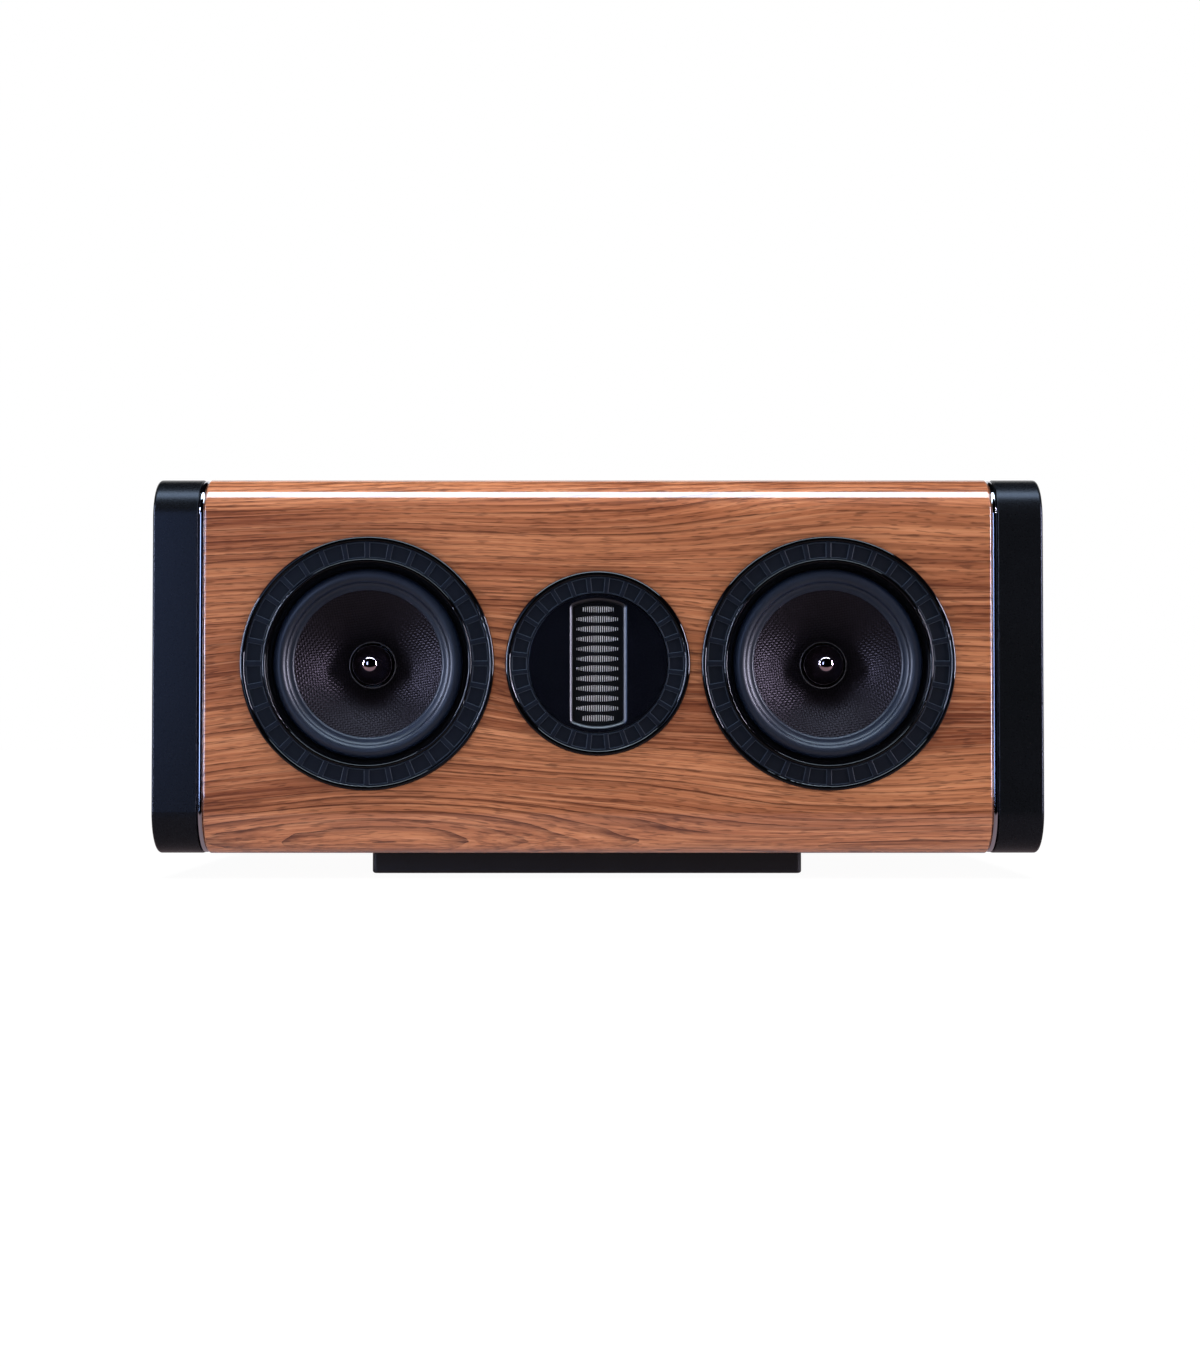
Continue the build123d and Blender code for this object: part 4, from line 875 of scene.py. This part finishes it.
def panel(name, material, centre, width, height, facing):
    shape = bmesh.new()
    bmesh.ops.create_grid(shape, x_segments=1, y_segments=1, size=0.5)
    bmesh.ops.scale(shape, vec=(width, height, 1.0), verts=shape.verts)
    bmesh.ops.rotate(shape, cent=(0, 0, 0), matrix=facing, verts=shape.verts)
    bmesh.ops.translate(shape, vec=centre, verts=shape.verts)
    mesh = bpy.data.meshes.new(name)
    shape.to_mesh(mesh)
    shape.free()
    mesh.materials.append(material)
    obj = bpy.data.objects.new(name, mesh)
    scene.collection.objects.link(obj)
    return obj


floor = panel("floor", sweep, (0.0, 0.0, 0.0), FLOOR_SIZE, FLOOR_SIZE, FLAT)
print("floor measures", tuple(floor.dimensions))

# %% [markdown]
# Five large soft lamps light the object: a strip over the front edge, a key above the front, a softbox far
# in front and a tall one at each side. Seen in gloss black they would be white patches, so none of them
# shows in a reflection. What the gloss does see comes with the cards of the next step.

# %% Lamps
BAFFLE_Y = -0.155
FRONT = (0.0, BAFFLE_Y, 0.15)
FRONT_EDGE = (0.0, -0.14, 0.28)


def lamp(name, place, aim, width, height, strength, colour):
    data = bpy.data.lights.new(name, "AREA")
    data.shape = "RECTANGLE"
    data.size = width
    data.size_y = height
    data.energy = strength * width * height * math.pi
    data.color = linear(colour)[:3]
    obj = bpy.data.objects.new(name, data)
    obj.location = place
    obj.rotation_euler = (Vector(aim) - Vector(place)).to_track_quat("-Z", "Y").to_euler()
    obj.visible_glossy = False
    scene.collection.objects.link(obj)


# name, place, aim, width, height, strength, colour
for row in (("strip_above", (0.0, -0.20, 1.25), FRONT_EDGE, 1.6, 0.5, 9.8, "#ffffff"),
            ("key_above_front", (0.0, -0.80, 1.25), FRONT, 1.8, 0.5, 2.3, "#ffffff"),
            ("front_softbox", (0.0, -2.6, 0.45), FRONT, 2.4, 1.4, 1.45, "#ffffff"),
            ("side_softbox_left", (-1.25, -0.75, 0.35), FRONT, 0.3, 1.0, 3.2, "#dfe9ff"),
            ("side_softbox_right", (1.25, -0.75, 0.35), FRONT, 0.3, 1.0, 2.7, "#fff8f0")):
    lamp(*row)

# %% [markdown]
# The cards are seen by reflections alone. A strip above draws the white line on the lacquer's round edge.
# One narrow bright card far out on each side puts the streaks on cones, surrounds and bullets, and a
# bluish one in front on the left cools the left end cap. Walls and ceiling are nearly black, and they keep
# the white world out of the gloss.

# %% Cards and black walls
def card(name, centre, width, height, facing, colour, strength):
    material, tree = new_material(name)
    glow = add(tree, "ShaderNodeEmission", {"Color": linear(colour), "Strength": strength})
    add(tree, "ShaderNodeOutputMaterial", {"Surface": glow.outputs["Emission"]})
    obj = panel(name, material, centre, width, height, facing)
    obj.visible_camera = False
    obj.visible_diffuse = False
    obj.visible_shadow = False
    obj.visible_transmission = False


# name, centre, width, height, facing, colour, strength
for row in (("strip_mirror", (0.0, -0.36, 1.07), 1.6, 0.3, FLAT, "#d4eaff", 11.0),
            ("mirror_left", (-2.1, -0.83, 0.625), 0.18, 1.25, SIDEWAYS, "#d0dcff", 85.0),
            ("mirror_right", (2.1, -0.83, 0.625), 0.18, 1.25, SIDEWAYS, "#e8e4ff", 115.0),
            ("wall_front_left", (-0.95, -1.88, 0.4), 0.46, 1.2, UPRIGHT, "#a8c4ff", 5.0),
            ("wall_front", (0.0, -1.9, 1.35), 9.0, 3.7, UPRIGHT, "#000000", 0.0),
            ("wall_left", (-2.2, -0.15, 1.35), 3.5, 3.7, SIDEWAYS, "#0a0d16", 1.0),
            ("wall_right", (2.2, -0.15, 1.35), 3.5, 3.7, SIDEWAYS, "#060607", 1.0),
            ("ceiling", (0.0, 0.3, 2.4), 9.0, 4.4, FLAT, "#060607", 1.0)):
    card(*row)

# %% [markdown]
# The picture is taken square on, from a little below the drivers' axis and tilted up by about a degree
# and a half, 1.43 m in front of the baffle. The frame is higher than it is wide, 1200 by 1367 pixels, so
# the 36 mm of the sensor lie along the height, and the lens is worked out for that.

# %% Camera
LENS = 54.26
SENSOR = 36.0
DISTANCE = 1.43
ASIDE = 0.0015
EYE_HEIGHT = 0.100
TILT_UP = math.radians(1.448)
camera_data = bpy.data.cameras.new("photo_camera")
camera_data.lens = LENS
camera_data.sensor_width = SENSOR
camera_data.dof.use_dof = False
camera = bpy.data.objects.new("photo_camera", camera_data)
camera.location = (ASIDE, BAFFLE_Y - DISTANCE, EYE_HEIGHT)
camera.rotation_euler = (math.pi / 2 + TILT_UP, 0.0, 0.0)
scene.collection.objects.link(camera)
scene.camera = camera
print("camera at", tuple(camera.location))
